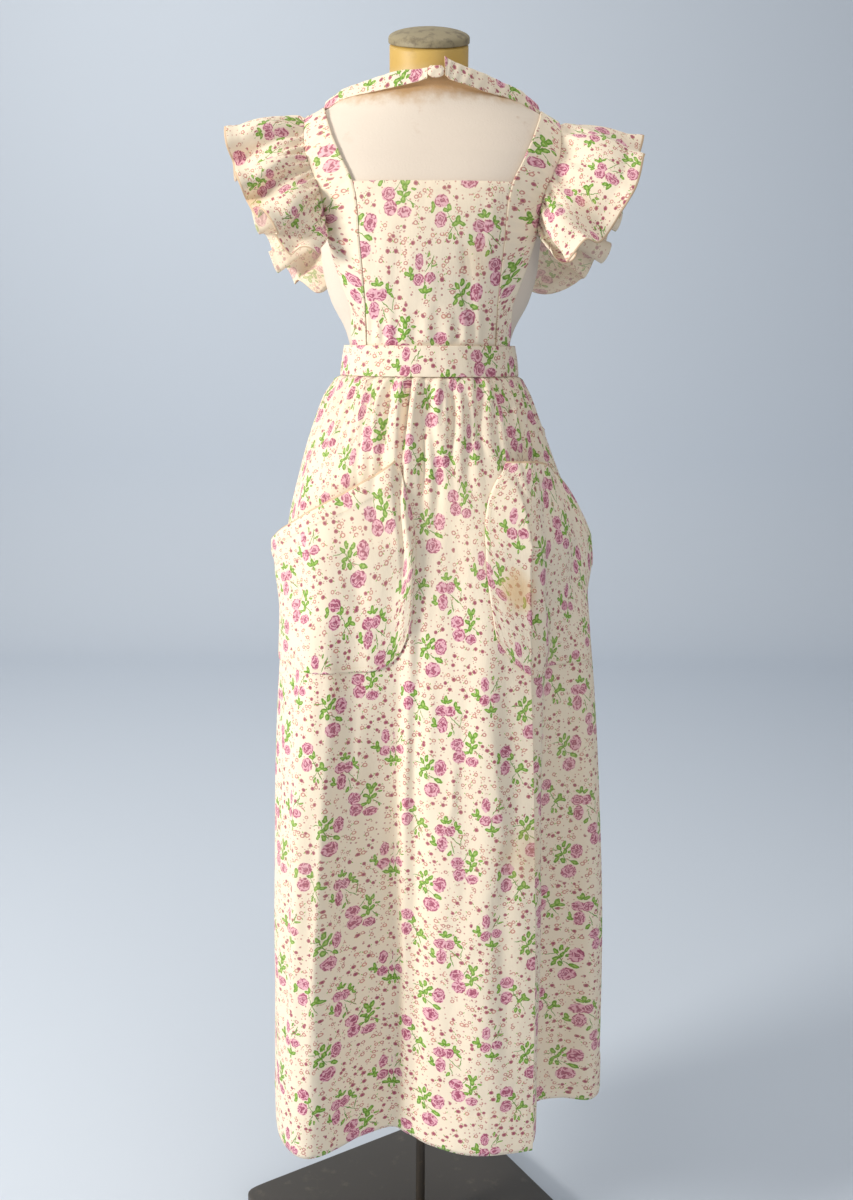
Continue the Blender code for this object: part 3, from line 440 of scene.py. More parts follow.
def skirt_point(turn, z, gather=1.0, crease=1.0):
    """Outer face of the skirt: waist ellipse, hip ring and hem ring blended by height, with
    gathers (a cosine of the uneven phase that dies away), long drapes and pressed creases."""
    turn, z = np.broadcast_arrays(np.asarray(turn, float), np.asarray(z, float))
    share = np.mod(turn, 1.0)
    ring = {name: spline(table(SKIRT_RINGS, RING_COLUMNS, name) / 100.0, share, True)
            for name in RING_COLUMNS}
    waist = ellipse(ring_angle(share), WAIST_X + 0.0008, WAIST_Y + 0.0008)
    hip = np.stack([ring["hip_x"], ring["hip_y"]], axis=-1)
    hem = np.stack([ring["hem_x"], ring["hem_y"]], axis=-1)
    upper = np.clip((SKIRT_TOP_Z - z) / (SKIRT_TOP_Z - HIP_Z), 0.0, 1.0)
    lower = np.clip((HIP_Z - z) / (HIP_Z - HEM_Z), 0.0, 1.0)
    swell = (np.sin(upper * math.pi / 2) * 0.35 + upper * 0.65)[..., None]
    fall = (1.0 - (1.0 - lower) ** 2)[..., None]
    flat = waist * (1 - swell) + hip * swell + (hem - hip) * fall
    flat = flat - np.stack([HIP_LEAN * np.sin(upper * math.pi), 0 * upper], axis=-1)
    out = skirt_outward(flat)
    drop = SKIRT_TOP_Z - z
    rise = 0.60 + 0.70 * soft(drop / 0.030)
    longer = 1.15 + 0.45 * np.sin(FULL * (4 * share + 0.2)) + 0.30 * np.sin(FULL * (9 * share + 0.6))
    fade = 1.0 - 0.8 * soft((drop - 0.01) / (GATHER_FADE * longer)) - 0.2 * soft((drop - 0.08) / 0.20)
    uneven = 0.75 + 0.25 * np.sin(FULL * (5 * share + 0.3))
    phase = gather_phase(share)
    pleat = 2.0 * np.abs(np.cos(0.5 * phase)) ** 0.7 - 0.75
    small = (2.0 * np.abs(np.cos(phase + 0.9 * np.sin(FULL * 3 * share))) ** 0.8 - 1.1) * (
        1.0 - soft((drop - 0.004) / (0.07 * longer)))
    push = gather * GATHER_DEEP * rise * fade * (1.25 * uneven * pleat + 0.42 * small)
    tuck = soft((z - (SKIRT_TOP_Z - 0.002)) / 0.0035)
    push = push * (1.0 - tuck) - 0.0050 * tuck
    for place, half, depth, start, full in DRAPES:
        away = np.abs(np.mod(share - place + 0.5, 1.0) - 0.5) / half
        push = push + depth * np.exp(-0.5 * away ** 2) * soft((start - z) / (start - full))
    if crease:
        sway = 0.0009 * np.sin(FULL * (2.3 * z + 3 * share)) * np.sin(FULL * (17 * share + 0.6 * z))
        push = push + crease * (crease_push(share, z, SKIRT_CREASES, True) + edge_push(share, z)
                                + sway * soft(drop / 0.2))
    flat = flat + out * push[..., None]
    return np.concatenate([flat, z[..., None]], axis=-1)


# ---------------------------------------------------------------- meshes
def grid_normals(points, around, outward):
    """Unit normals of a grid: the step across crossed with the step along."""
    if around:
        across = np.roll(points, -1, axis=1) - np.roll(points, 1, axis=1)
    else:
        across = np.gradient(points, axis=1)
    return unit(np.cross(across, np.gradient(points, axis=0))) * outward


def arc_uv(points, around, start=(0.0, 0.0)):
    """Cloth place of each grid point in metres: run of the middle row, run of each column."""
    middle = points[len(points) // 2]
    if around:
        middle = np.concatenate([middle, middle[:1]])
    across = run_along(middle)
    step = np.linalg.norm(np.diff(points, axis=0), axis=2).mean(axis=1)
    along = np.concatenate([[0.0], np.cumsum(step)])
    u, v = np.meshgrid(across + start[0], along + start[1])
    return np.stack([u, v], axis=-1)


def link(obj):
    """Puts an object into the scene."""
    bpy.context.scene.collection.objects.link(obj)
    return obj


def make_object(name, verts, faces, corners, mats, second, smooth=True):
    """Mesh object from arrays: points, quads, their UV corners, and which faces use material 1."""
    mesh = bpy.data.meshes.new(name)
    mesh.vertices.add(len(verts))
    mesh.vertices.foreach_set("co", np.ascontiguousarray(verts, dtype=np.float32).ravel())
    mesh.loops.add(faces.size)
    mesh.loops.foreach_set("vertex_index", faces.astype(np.int32).ravel())
    mesh.polygons.add(len(faces))
    mesh.polygons.foreach_set("loop_start", np.arange(0, faces.size, 4, dtype=np.int32))
    mesh.polygons.foreach_set("loop_total", np.full(len(faces), 4, dtype=np.int32))
    mesh.polygons.foreach_set("use_smooth", np.full(len(faces), smooth, dtype=bool))
    mesh.update(calc_edges=True)
    layer = mesh.uv_layers.new(name="cloth")
    layer.data.foreach_set("uv", np.ascontiguousarray(corners, dtype=np.float32).ravel())
    for mat in mats:
        mesh.materials.append(mat)
    mesh.polygons.foreach_set("material_index", np.asarray(second, dtype=np.int32))
    mesh.validate()
    return link(bpy.data.objects.new(name, mesh))


def cloth_wall(name, outer, uv, mats, thick=CLOTH, around=False, outward=1.0, worn=""):
    """Thin closed wall: the outer grid, the same grid moved in along its normals by the
    thickness, and a narrow rim round the open edges. The inner face uses material 1 and
    the rim material 2, as does the last row or column of the outer face named by worn.
    Material 2 is the brown edge colour: partly wear, partly painted shade standing in for
    the dark gaps at seams, hems and pocket mouths."""
    rows, cols = outer.shape[:2]
    inner = outer - grid_normals(outer, around, outward) * thick
    total = rows * cols
    index = np.arange(total).reshape(rows, cols)
    left = index if around else index[:, :-1]
    right = np.roll(index, -1, axis=1) if around else index[:, 1:]
    quads = np.stack([left[:-1], right[:-1], right[1:], left[1:]], axis=-1).reshape(-1, 4)
    uv_left, uv_right = uv[:, :-1], uv[:, 1:]
    uvs = np.stack([uv_left[:-1], uv_right[:-1], uv_right[1:], uv_left[1:]], axis=2).reshape(-1, 4, 2)
    rims = [np.stack([right[0], left[0], left[0] + total, right[0] + total], axis=-1),
            np.stack([left[-1], right[-1], right[-1] + total, left[-1] + total], axis=-1)]
    rim_uv = [np.stack([uv_right[0], uv_left[0], uv_left[0], uv_right[0]], axis=1),
              np.stack([uv_left[-1], uv_right[-1], uv_right[-1], uv_left[-1]], axis=1)]
    if not around:
        for col, low, high in ((0, index[:-1, 0], index[1:, 0]), (-1, index[1:, -1], index[:-1, -1])):
            rims.append(np.stack([low, high, high + total, low + total], axis=-1))
            a, b = (uv[:-1, 0], uv[1:, 0]) if col == 0 else (uv[1:, -1], uv[:-1, -1])
            rim_uv.append(np.stack([a, b, b, a], axis=1))
    rims, rim_uv = np.concatenate(rims), np.concatenate(rim_uv)
    faces = np.concatenate([quads, quads[:, ::-1] + total, rims])
    corners = np.concatenate([uvs, uvs[:, ::-1], rim_uv])
    if outward < 0:
        faces, corners = faces[:, ::-1], corners[:, ::-1]
    # Rims and the named edge row or column take the edge colour: partly wear, partly painted shade of the
    # gaps.
    face = np.zeros((rows - 1, len(quads) // (rows - 1)))
    if worn == "row":
        face[-1] = 2.0
    if worn == "column":
        face[:, -1] = 2.0
    second = np.concatenate([face.ravel(), np.ones(len(quads)), np.full(len(rims), 2.0)])
    verts = np.concatenate([outer.reshape(-1, 3), inner.reshape(-1, 3)])
    return make_object(name, verts, faces, corners, mats, second)


def ring_skin(name, rings, mats, smooth=True):
    """Closed solid through rings; each end is drawn in to its middle by a last tiny ring."""
    rings = np.asarray(rings)
    ends = [rings[0].mean(axis=0) + (rings[0] - rings[0].mean(axis=0)) * 1e-4,
            rings[-1].mean(axis=0) + (rings[-1] - rings[-1].mean(axis=0)) * 1e-4]
    rings = np.concatenate([ends[0][None], rings, ends[1][None]])
    uv = arc_uv(rings, True)
    rows, cols = rings.shape[:2]
    index = np.arange(rows * cols).reshape(rows, cols)
    right = np.roll(index, -1, axis=1)
    faces = np.stack([index[:-1], right[:-1], right[1:], index[1:]], axis=-1).reshape(-1, 4)
    a, b = uv[:, :-1], uv[:, 1:]
    corners = np.stack([a[:-1], b[:-1], b[1:], a[1:]], axis=2).reshape(-1, 4, 2)
    return make_object(name, rings.reshape(-1, 3), faces, corners, mats, np.zeros(len(faces)), smooth)


def sharpen(obj, degrees):
    """Marks edges steeper than an angle as sharp, so that flat faces stay flat."""
    obj.data.set_sharp_from_angle(angle=math.radians(degrees))


def hand_over(obj, node=None):
    """Puts a piece on the one body and hides the CAD node of its name."""
    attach(obj, "root")
    if node:
        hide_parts(node)
    return obj


# ---------------------------------------------------------------- shaders
class Tree:
    """Short calls that add nodes to a node tree and join them."""

    def __init__(self, tree):
        """Keeps the tree to add to."""
        self.tree = tree

    def node(self, kind, **settings):
        """A node with its settings."""
        made = self.tree.nodes.new(kind)
        for key, value in settings.items():
            setattr(made, key, value)
        return made

    def feed(self, socket, value):
        """Joins an output to a socket, or sets the socket's number."""
        if isinstance(value, bpy.types.NodeSocket):
            self.tree.links.new(value, socket)
        elif value is not None:
            socket.default_value = value

    def math(self, kind, a, b=None, c=None):
        """Math node."""
        made = self.node("ShaderNodeMath", operation=kind)
        for socket, value in zip(made.inputs, (a, b, c)):
            self.feed(socket, value)
        return made.outputs[0]

    def vector(self, kind, a, b=None, third=None, scale=None):
        """Vector Math node; a number comes out of LENGTH and DISTANCE."""
        made = self.node("ShaderNodeVectorMath", operation=kind)
        self.feed(made.inputs[0], a)
        self.feed(made.inputs[1], b)
        self.feed(made.inputs[2], third)
        if scale is not None:
            self.feed(made.inputs["Scale"], scale)
        return made.outputs[1 if kind in ("LENGTH", "DISTANCE") else 0]

    def mix(self, factor, a, b):
        """Colour mix."""
        made = self.node("ShaderNodeMix", data_type="RGBA")
        self.feed(made.inputs[0], factor)
        self.feed(made.inputs[6], a)
        self.feed(made.inputs[7], b)
        return made.outputs[2]

    def split(self, vector):
        """X, Y and Z of a vector."""
        made = self.node("ShaderNodeSeparateXYZ")
        self.feed(made.inputs[0], vector)
        return made.outputs

    def ramp(self, value, low, high, top=1.0, foot=0.0):
        """Soft step from foot to top between low and high."""
        made = self.node("ShaderNodeMapRange", interpolation_type="SMOOTHSTEP")
        for socket, number in zip(made.inputs, (value, low, high, foot, top)):
            self.feed(socket, number)
        return made.outputs[0]

    def noise(self, vector, scale, detail=2.0, rough=0.5, dims="3D"):
        """Noise value about 0.5."""
        made = self.node("ShaderNodeTexNoise", noise_dimensions=dims)
        self.feed(made.inputs["Vector"], vector)
        made.inputs["Scale"].default_value = scale
        made.inputs["Detail"].default_value = detail
        made.inputs["Roughness"].default_value = rough
        return made.outputs

    def here(self):
        """Object coordinates."""
        return self.node("ShaderNodeTexCoord").outputs["Object"]

    def cells(self, vector, scale, uneven=1.0):
        """Flat Voronoi cells."""
        made = self.node("ShaderNodeTexVoronoi", voronoi_dimensions="2D", feature="F1")
        self.feed(made.inputs["Vector"], vector)
        made.inputs["Scale"].default_value = scale
        made.inputs["Randomness"].default_value = uneven
        return made.outputs

    def bump(self, bsdf, height, strength, distance):
        """Bump of a surface."""
        made = self.node("ShaderNodeBump")
        made.inputs["Strength"].default_value = strength
        made.inputs["Distance"].default_value = distance
        self.feed(made.inputs["Height"], height)
        self.feed(bsdf.inputs["Normal"], made.outputs[0])


# The print, in centimetres: one repeat holds five sprigs, each with its own middle in the
# repeat. Every row is a soft ellipse: x, y, turn in degrees, half length, half width.
FULLER = {"roses": 1.12, "leaves": 1.16, "stems": 1.0}
REPEAT = (12.8, 15.8)        # width and height; the next column is dropped by half
SPRIGS = (
    {
        "middle": (6.4, 8.4),
        "roses": (
            (1.40, 1.05, 80, 0.98, 0.70), (0.36, -1.95, 20, 0.94, 0.86), (0.36, -1.95, 20, 0.94, 0.86)),
        "leaves": (
            (-0.36, 2.20, 80, 0.42, 0.22), (0.30, 1.80, 50, 0.42, 0.22), (-0.95, 1.75, 120, 0.40, 0.22),
            (-0.20, 1.10, 70, 0.40, 0.24), (-0.90, 0.60, 200, 0.40, 0.22), (-1.15, -0.05, 240, 0.42, 0.22),
            (-0.45, -0.25, 285, 0.38, 0.22), (1.15, -0.65, -25, 0.48, 0.26), (0.55, 0.95, 20, 0.36, 0.20)),
        "stems": (
            (-1.50, 1.40, 2, 0.75, 0.06), (-0.40, 0.45, 112, 1.25, 0.06), (0.55, -0.35, -30, 0.90, 0.06)),
    },
    {
        "middle": (10.9, 12.1),
        "roses": (
            (-0.95, 0.60, 30, 0.76, 0.70), (-0.70, -1.00, 75, 0.80, 0.70), (0.95, -1.50, 10, 0.76, 0.58)),
        "leaves": (
            (0.70, 2.00, 110, 0.42, 0.23), (1.35, 2.00, 60, 0.42, 0.23), (1.00, 1.35, 90, 0.42, 0.25),
            (0.45, 0.70, 150, 0.40, 0.22), (1.30, 0.55, 40, 0.42, 0.23), (0.80, -0.05, 80, 0.40, 0.24),
            (2.05, 1.15, 0, 0.26, 0.13), (0.15, -0.45, 200, 0.36, 0.20), (1.95, -0.70, -70, 0.24, 0.12)),
        "stems": (
            (1.75, -0.35, -35, 0.80, 0.06), (0.75, 0.60, 75, 1.20, 0.06), (0.05, 1.35, 60, 0.85, 0.05)),
    },
    {
        "middle": (3.95, 2.2),
        "roses": (
            (-0.50, 1.80, 10, 0.74, 0.70), (-0.60, -0.35, 80, 0.82, 0.64), (-0.60, -0.35, 80, 0.82, 0.64)),
        "leaves": (
            (-1.50, 1.30, 100, 0.40, 0.21), (-1.55, 0.75, 60, 0.34, 0.18), (0.40, 1.10, 105, 0.38, 0.20),
            (0.05, 0.75, 170, 0.34, 0.18), (1.50, -0.35, 85, 0.46, 0.26), (1.15, -0.75, 30, 0.44, 0.24),
            (1.90, -0.75, -20, 0.40, 0.22), (0.55, -2.20, 75, 0.36, 0.17), (1.05, -2.35, 100, 0.30, 0.14)),
        "stems": (
            (0.85, -0.80, -62, 1.95, 0.06), (0.60, -1.55, 55, 0.75, 0.05), (0.10, -0.10, 20, 0.70, 0.05)),
    },
    {
        "middle": (8.5, 0.6),
        "roses": (
            (-0.55, 0.60, 20, 0.72, 0.66), (0.55, 0.60, 60, 0.68, 0.58), (-0.42, -1.25, 85, 0.96, 0.58)),
        "leaves": (
            (0.00, 2.15, 90, 0.40, 0.22), (-0.35, 1.80, 150, 0.34, 0.18), (0.45, 1.85, 35, 0.36, 0.19),
            (1.45, 1.05, 25, 0.40, 0.21), (1.25, 1.50, 85, 0.36, 0.19), (1.75, 0.55, -40, 0.34, 0.17),
            (-1.50, -0.75, 105, 0.40, 0.20), (-1.50, -1.35, 160, 0.40, 0.21), (0.50, -2.45, 60, 0.38, 0.18)),
        "stems": (
            (1.25, -0.80, -42, 1.20, 0.06), (0.85, -1.65, -75, 0.95, 0.06), (1.95, -0.45, 80, 0.85, 0.05)),
    },
    {
        "middle": (1.10, 11.3),
        "roses": (
            (-0.27, 1.60, 88, 0.86, 0.46), (-0.35, -0.45, 60, 0.66, 0.58), (1.05, -0.20, 20, 0.60, 0.54)),
        "leaves": (
            (-1.30, 0.55, 100, 0.42, 0.21), (-1.70, 0.15, 165, 0.38, 0.20), (-1.15, -0.20, 60, 0.36, 0.20),
            (0.45, -1.55, 90, 0.40, 0.22), (0.00, -1.75, 150, 0.38, 0.20), (0.90, -1.75, 35, 0.40, 0.20),
            (1.60, 1.20, 20, 0.30, 0.11), (0.45, -2.35, 88, 0.26, 0.12), (0.85, 2.40, 70, 0.28, 0.10)),
        "stems": (
            (1.00, 1.30, 58, 1.15, 0.06), (1.30, 1.50, 76, 0.95, 0.05), (0.40, -1.10, 92, 0.85, 0.06)),
    },
)


# A leaf and two specks beside each bud, as rows of the same kind.
BUD_TICKS = ((0.34, -0.12, -60, 0.12, 0.055), (-0.06, 0.44, 20, 0.065, 0.06), (0.30, 0.36, 60, 0.06, 0.055))


def ellipse_gap(t, x, y, middle, rows, fuller=1.0):
    """Least squared distance to a list of ellipses, 1 on an ellipse's edge.

    Three ellipses are worked out at a time, one in each vector component: the place along
    and the place across each one are sums of x and y times its own numbers."""
    least = None
    for first in range(0, len(rows), 3):
        at_x, at_y, turn, length, width = np.array(rows[first:first + 3]).T
        at_x, at_y, turn = at_x + middle[0], at_y + middle[1], np.radians(turn)
        length, width = length * fuller, width * fuller
        cos, sin = np.cos(turn), np.sin(turn)
        terms = ((cos / length, sin / length, -(at_x * cos + at_y * sin) / length),
                 (-sin / width, cos / width, (at_x * sin - at_y * cos) / width))
        along, across = (t.vector("MULTIPLY_ADD", x, tuple(a), third=t.vector(
            "MULTIPLY_ADD", y, tuple(b), third=tuple(c))) for a, b, c in terms)
        gap = t.vector("MULTIPLY_ADD", along, along, third=t.vector("MULTIPLY", across, across))
        least = gap if least is None else t.vector("MINIMUM", least, gap)
    return least


def wrapped(t, x, y, middle):
    """x and y moved by whole repeats to the copy of a sprig nearest to the point."""
    wide, high = REPEAT
    column = t.math("FLOOR", t.math("MULTIPLY_ADD", x, 1.0 / wide, 0.5 - middle[0] / wide))
    y = t.math("MULTIPLY_ADD", column, -high / 2, y)
    row = t.math("FLOOR", t.math("MULTIPLY_ADD", y, 1.0 / high, 0.5 - middle[1] / high))
    return t.math("MULTIPLY_ADD", column, -wide, x), t.math("MULTIPLY_ADD", row, -high, y)


def print_group(colors):
    """Half-drop print: sprigs of roses and leaves, small buds, rings and dots on cream.

    The UV (metres) becomes centimetres with a slight ragged edge; each sprig is drawn in
    its own copy of the repeat. Buds and dots sit in two Voronoi grids."""
    group = bpy.data.node_groups.new("floral_print", "ShaderNodeTree")
    group.interface.new_socket("Vector", in_out="INPUT", socket_type="NodeSocketVector")
    group.interface.new_socket("Color", in_out="OUTPUT", socket_type="NodeSocketColor")
    t = Tree(group)
    start, end = t.node("NodeGroupInput"), t.node("NodeGroupOutput")
    flat = t.vector("SCALE", start.outputs[0], scale=100.0)
    ragged = t.noise(flat, 2.2, 1.0, dims="2D")[1]
    edge = t.vector("SCALE", t.vector("SUBTRACT", ragged, (0.5, 0.5, 0.5)), scale=0.26)
    place = t.vector("ADD", flat, edge)
    x, y, _ = t.split(place)
    gaps = {"roses": None, "leaves": None, "stems": None}
    for sprig in SPRIGS:
        near_x, near_y = wrapped(t, x, y, sprig["middle"])
        for kind, least in gaps.items():
            gap = ellipse_gap(t, near_x, near_y, sprig["middle"], sprig[kind], FULLER[kind])
            gaps[kind] = gap if least is None else t.vector("MINIMUM", least, gap)
    rose, leaf, stem = (t.math("SQRT", t.math("MINIMUM", t.math("MINIMUM", a, b), c))
                        for a, b, c in (t.split(gaps[kind]) for kind in gaps))
    fine = t.noise(place, 3.4, 2.0, dims="2D")[0]

    color = colors["cream"]
    dots = t.cells(flat, 1.35)
    dot_r, dot_g, _ = t.split(dots["Color"])
    dot_size = t.math("MULTIPLY_ADD", dot_g, 0.08, 0.10)
    dot = t.math("MULTIPLY", t.math("LESS_THAN", dots["Distance"], dot_size),
                 t.math("GREATER_THAN", dot_r, 0.46))
    color = t.mix(t.math("MULTIPLY", dot, 0.85), color, t.mix(dot_g, colors["coral"], colors["bud"]))

    moved = t.vector("ADD", flat, (3.3, 7.1, 0.0))
    buds = t.cells(moved, 0.92, 0.95)
    bud_r, bud_g, bud_b = t.split(buds["Color"])
    clear = t.math("MULTIPLY", t.math("GREATER_THAN", bud_r, 0.14),
                   t.math("MULTIPLY", t.ramp(rose, 1.5, 1.8), t.ramp(leaf, 1.3, 1.6)))
    gap = t.math("DIVIDE", buds["Distance"], t.math("MULTIPLY_ADD", bud_g, 0.07, 0.200))
    gap = t.math("MULTIPLY_ADD", t.math("SUBTRACT", fine, 0.5), 0.55, gap)
    bud = t.math("MULTIPLY", t.ramp(gap, 1.12, 0.92), clear)
    core = t.ramp(gap, 0.62, 0.40)
    petal = t.mix(bud_b, colors["bud"], colors["coral"])
    heart = t.mix(t.math("GREATER_THAN", bud_b, 0.40), colors["rose_dark"], colors["cream"])
    color = t.mix(bud, color, t.mix(core, petal, heart))
    own_x, own_y, _ = t.split(t.vector("SUBTRACT", moved, buds["Position"]))
    own_x = t.math("MULTIPLY", own_x, t.math("SIGN", t.math("SUBTRACT", bud_r, 0.62)))
    own_y = t.math("MULTIPLY", own_y, t.math("SIGN", t.math("SUBTRACT", bud_g, 0.50)))
    tick_a, tick_b, tick_c = t.split(ellipse_gap(t, own_x, own_y, (0.0, 0.0), BUD_TICKS))
    color = t.mix(t.math("MULTIPLY", t.math("LESS_THAN", tick_a, 1.0), clear), color, colors["leaf"])
    specks = t.math("LESS_THAN", t.math("MINIMUM", tick_b, tick_c), 1.0)
    color = t.mix(t.math("MULTIPLY", specks, clear), color, colors["bud"])

    color = t.mix(t.ramp(stem, 1.05, 0.8), color, colors["leaf_dark"])
    green = t.mix(t.ramp(fine, 0.42, 0.56), colors["leaf"], colors["leaf_dark"])
    green = t.mix(t.ramp(leaf, 0.55, 0.25, 0.7), green, colors["leaf_light"])
    color = t.mix(t.ramp(leaf, 1.06, 0.97), color, green)

    curl = t.noise(place, 1.5, 1.0, dims="2D")[0]
    fold = t.math("SINE", t.math("MULTIPLY_ADD", rose, 9.0, t.math("MULTIPLY", curl, 17.0)))
    petals = t.mix(t.ramp(fold, -0.3, 0.5), colors["rose"], colors["pink"])
    petals = t.mix(t.ramp(fold, -0.70, -0.95), petals, colors["rose_dark"])
    petals = t.mix(t.ramp(rose, 0.34, 0.14, 0.7), petals, colors["rose_dark"])
    color = t.mix(t.ramp(rose, 1.05, 0.96), color, petals)
    t.feed(end.inputs[0], color)
    return group


# Soft stains: place in metres, radius, strength.
STAINS = (
    ((0.117, -0.150, 1.045), 0.030, 0.62), ((-0.215, -0.070, 1.510), 0.026, 0.55),
    ((0.190, -0.060, 1.500), 0.030, 0.35), ((0.060, -0.110, 1.440), 0.030, 0.16),
    ((0.130, -0.150, 0.700), 0.045, 0.22), ((-0.100, -0.160, 0.930), 0.030, 0.14),
    ((0.020, 0.150, 0.620), 0.040, 0.20),
)


def surface(name):
    """A new material: its tree and its Principled node."""
    mat = bpy.data.materials.new(name)
    mat.use_nodes = True
    return mat, Tree(mat.node_tree), mat.node_tree.nodes["Principled BSDF"]


def cotton_material(name, group, s, faded):
    """Printed cotton: the print read from the cloth UV, soft stains, a woven surface.

    The inside of the cloth shows the same print, paler."""
    mat, t, bsdf = surface(name)
    uv = t.node("ShaderNodeUVMap", uv_map="cloth")
    pattern = t.node("ShaderNodeGroup", node_tree=group)
    t.feed(pattern.inputs[0], uv.outputs[0])
    color = pattern.outputs[0]
    if faded:
        color = t.mix(0.45, color, (*s.cream, 1.0))
    here = t.here()
    cloudy = t.noise(here, 34.0, 3.0, 0.6)[0]
    total = None
    for at, radius, strength in STAINS:
        gap = t.math("DIVIDE", t.vector("DISTANCE", here, at), radius)
        gap = t.math("MULTIPLY_ADD", t.math("SUBTRACT", cloudy, 0.5), 1.2, gap)
        blot = t.ramp(gap, 1.15, 0.25, strength)
        total = blot if total is None else t.math("MAXIMUM", total, blot)
    color = t.mix(total, color, (0.74, 0.46, 0.19, 1.0))
    worn = t.noise(here, 3.1, 3.0, 0.55)[0]
    color = t.mix(t.ramp(worn, 0.40, 0.75, 0.16), color, (0.80, 0.66, 0.44, 1.0))
    t.feed(bsdf.inputs["Base Color"], color)
    bsdf.inputs["Roughness"].default_value = 0.86
    bsdf.inputs["Specular IOR Level"].default_value = 0.18
    bsdf.inputs["Sheen Weight"].default_value = 0.10
    bsdf.inputs["Sheen Roughness"].default_value = 0.5
    place = uv.outputs[0]
    crumple = t.noise(t.vector("MULTIPLY", place, (1.0, 0.55, 1.0)), 46.0, 3.0, 0.55, "2D")[0]
    slub = t.noise(t.vector("MULTIPLY", place, (1.0, 0.08, 1.0)), 900.0, 1.0, 0.5, "2D")[0]
    broad = t.noise(t.vector("MULTIPLY", place, (1.0, 0.45, 1.0)), 15.0, 2.0, 0.5, "2D")[0]
    height = t.math("MULTIPLY_ADD", slub, 0.08, t.math("MULTIPLY_ADD", broad, 2.2, crumple))
    t.bump(bsdf, height, 0.32, 0.0028)
    return mat


def plain_material(name, color, rough, metal=0.0, specks=None, bump_size=0.0, scale=60.0):
    """Painted, wooden or metal surface: noise between the colour and a second tone, and bump."""
    mat, t, bsdf = surface(name)
    here = t.here()
    tone = t.noise(here, scale, 4.0, 0.6)[0]
    made = (*color, 1.0)
    if specks:
        made = t.mix(t.ramp(tone, specks[1], specks[2], specks[3]), made, (*specks[0], 1.0))
        t.feed(bsdf.inputs["Base Color"], made)
    else:
        bsdf.inputs["Base Color"].default_value = made
    bsdf.inputs["Roughness"].default_value = rough
    bsdf.inputs["Metallic"].default_value = metal
    if bump_size:
        t.bump(bsdf, tone, 0.5, bump_size)
    return mat


def canvas_material(s):
    """Aged canvas of the form: beige, darker brown blots round the foot of the neck."""
    mat, t, bsdf = surface("form_canvas")
    here = t.here()
    cloudy = t.noise(here, 26.0, 4.0, 0.65)[0]
    broad = t.noise(here, 5.0, 2.0, 0.5)[0]
    color = t.mix(t.ramp(broad, 0.35, 0.7, 0.35), (*s.canvas, 1.0), (0.80, 0.72, 0.62, 1.0))
    _, _, z = t.split(here)
    collar = t.math("MULTIPLY_ADD", t.math("SUBTRACT", cloudy, 0.5), 0.046, z)
    color = t.mix(t.ramp(collar, 1.624, 1.648, 0.9), color, (0.50, 0.30, 0.13, 1.0))
    speck = t.math("MULTIPLY", t.ramp(cloudy, 0.62, 0.72), t.ramp(z, 1.56, 1.66, 0.55))
    color = t.mix(speck, color, (0.42, 0.22, 0.09, 1.0))
    t.feed(bsdf.inputs["Base Color"], color)
    bsdf.inputs["Roughness"].default_value = 0.85
    bsdf.inputs["Specular IOR Level"].default_value = 0.2
    t.bump(bsdf, t.noise(here, 420.0, 2.0, 0.5)[0], 0.25, 0.0012)
    return mat


def neck_material(s):
    """Worn yellow paint: brown scuffs, darker towards the lower edge."""
    mat, t, bsdf = surface("neck_paint")
    here = t.here()
    cloudy = t.noise(here, 60.0, 4.0, 0.6)[0]
    _, _, z = t.split(here)
    color = t.mix(t.ramp(cloudy, 0.52, 0.78, 0.5), (*s.neck, 1.0), (0.42, 0.26, 0.08, 1.0))
    color = t.mix(t.ramp(t.math("MULTIPLY_ADD", cloudy, 0.012, z), 1.684, 1.672, 0.6), color,
                  (0.62, 0.46, 0.22, 1.0))
    t.feed(bsdf.inputs["Base Color"], color)
    bsdf.inputs["Roughness"].default_value = 0.5
    return mat


def cottons(s):
    """Outside, inside and folded edge of the printed cotton. The edge is brown partly as wear and partly as
    painted shade of the gaps at seams, hems and pocket mouths.
    """
    if not bpy.data.materials.get("cotton_face"):
        colors = {name: (*getattr(s, name), 1.0) for name in
                  ("cream", "rose", "rose_dark", "pink", "leaf", "leaf_light", "leaf_dark", "bud", "coral")}
        group = print_group(colors)
        cotton_material("cotton_face", group, s, False)
        cotton_material("cotton_back", group, s, True)
        # Brown of folded edges and rims: partly wear, partly painted shade that stands in for the shadow in
        # the gaps at seams, pocket mouths and ruffle hems.
        plain_material("cotton_edge_wear_and_shade", s.edge, 0.9)
    return [bpy.data.materials[name] for name in ("cotton_face", "cotton_back", "cotton_edge_wear_and_shade")]


# ---------------------------------------------------------------- settings
def color_setting(name, text, value):
    """A linear colour setting."""
    return FloatVectorProperty(name=name, description=text, default=value, subtype="COLOR",
                               size=3, min=0.0, max=1.0)


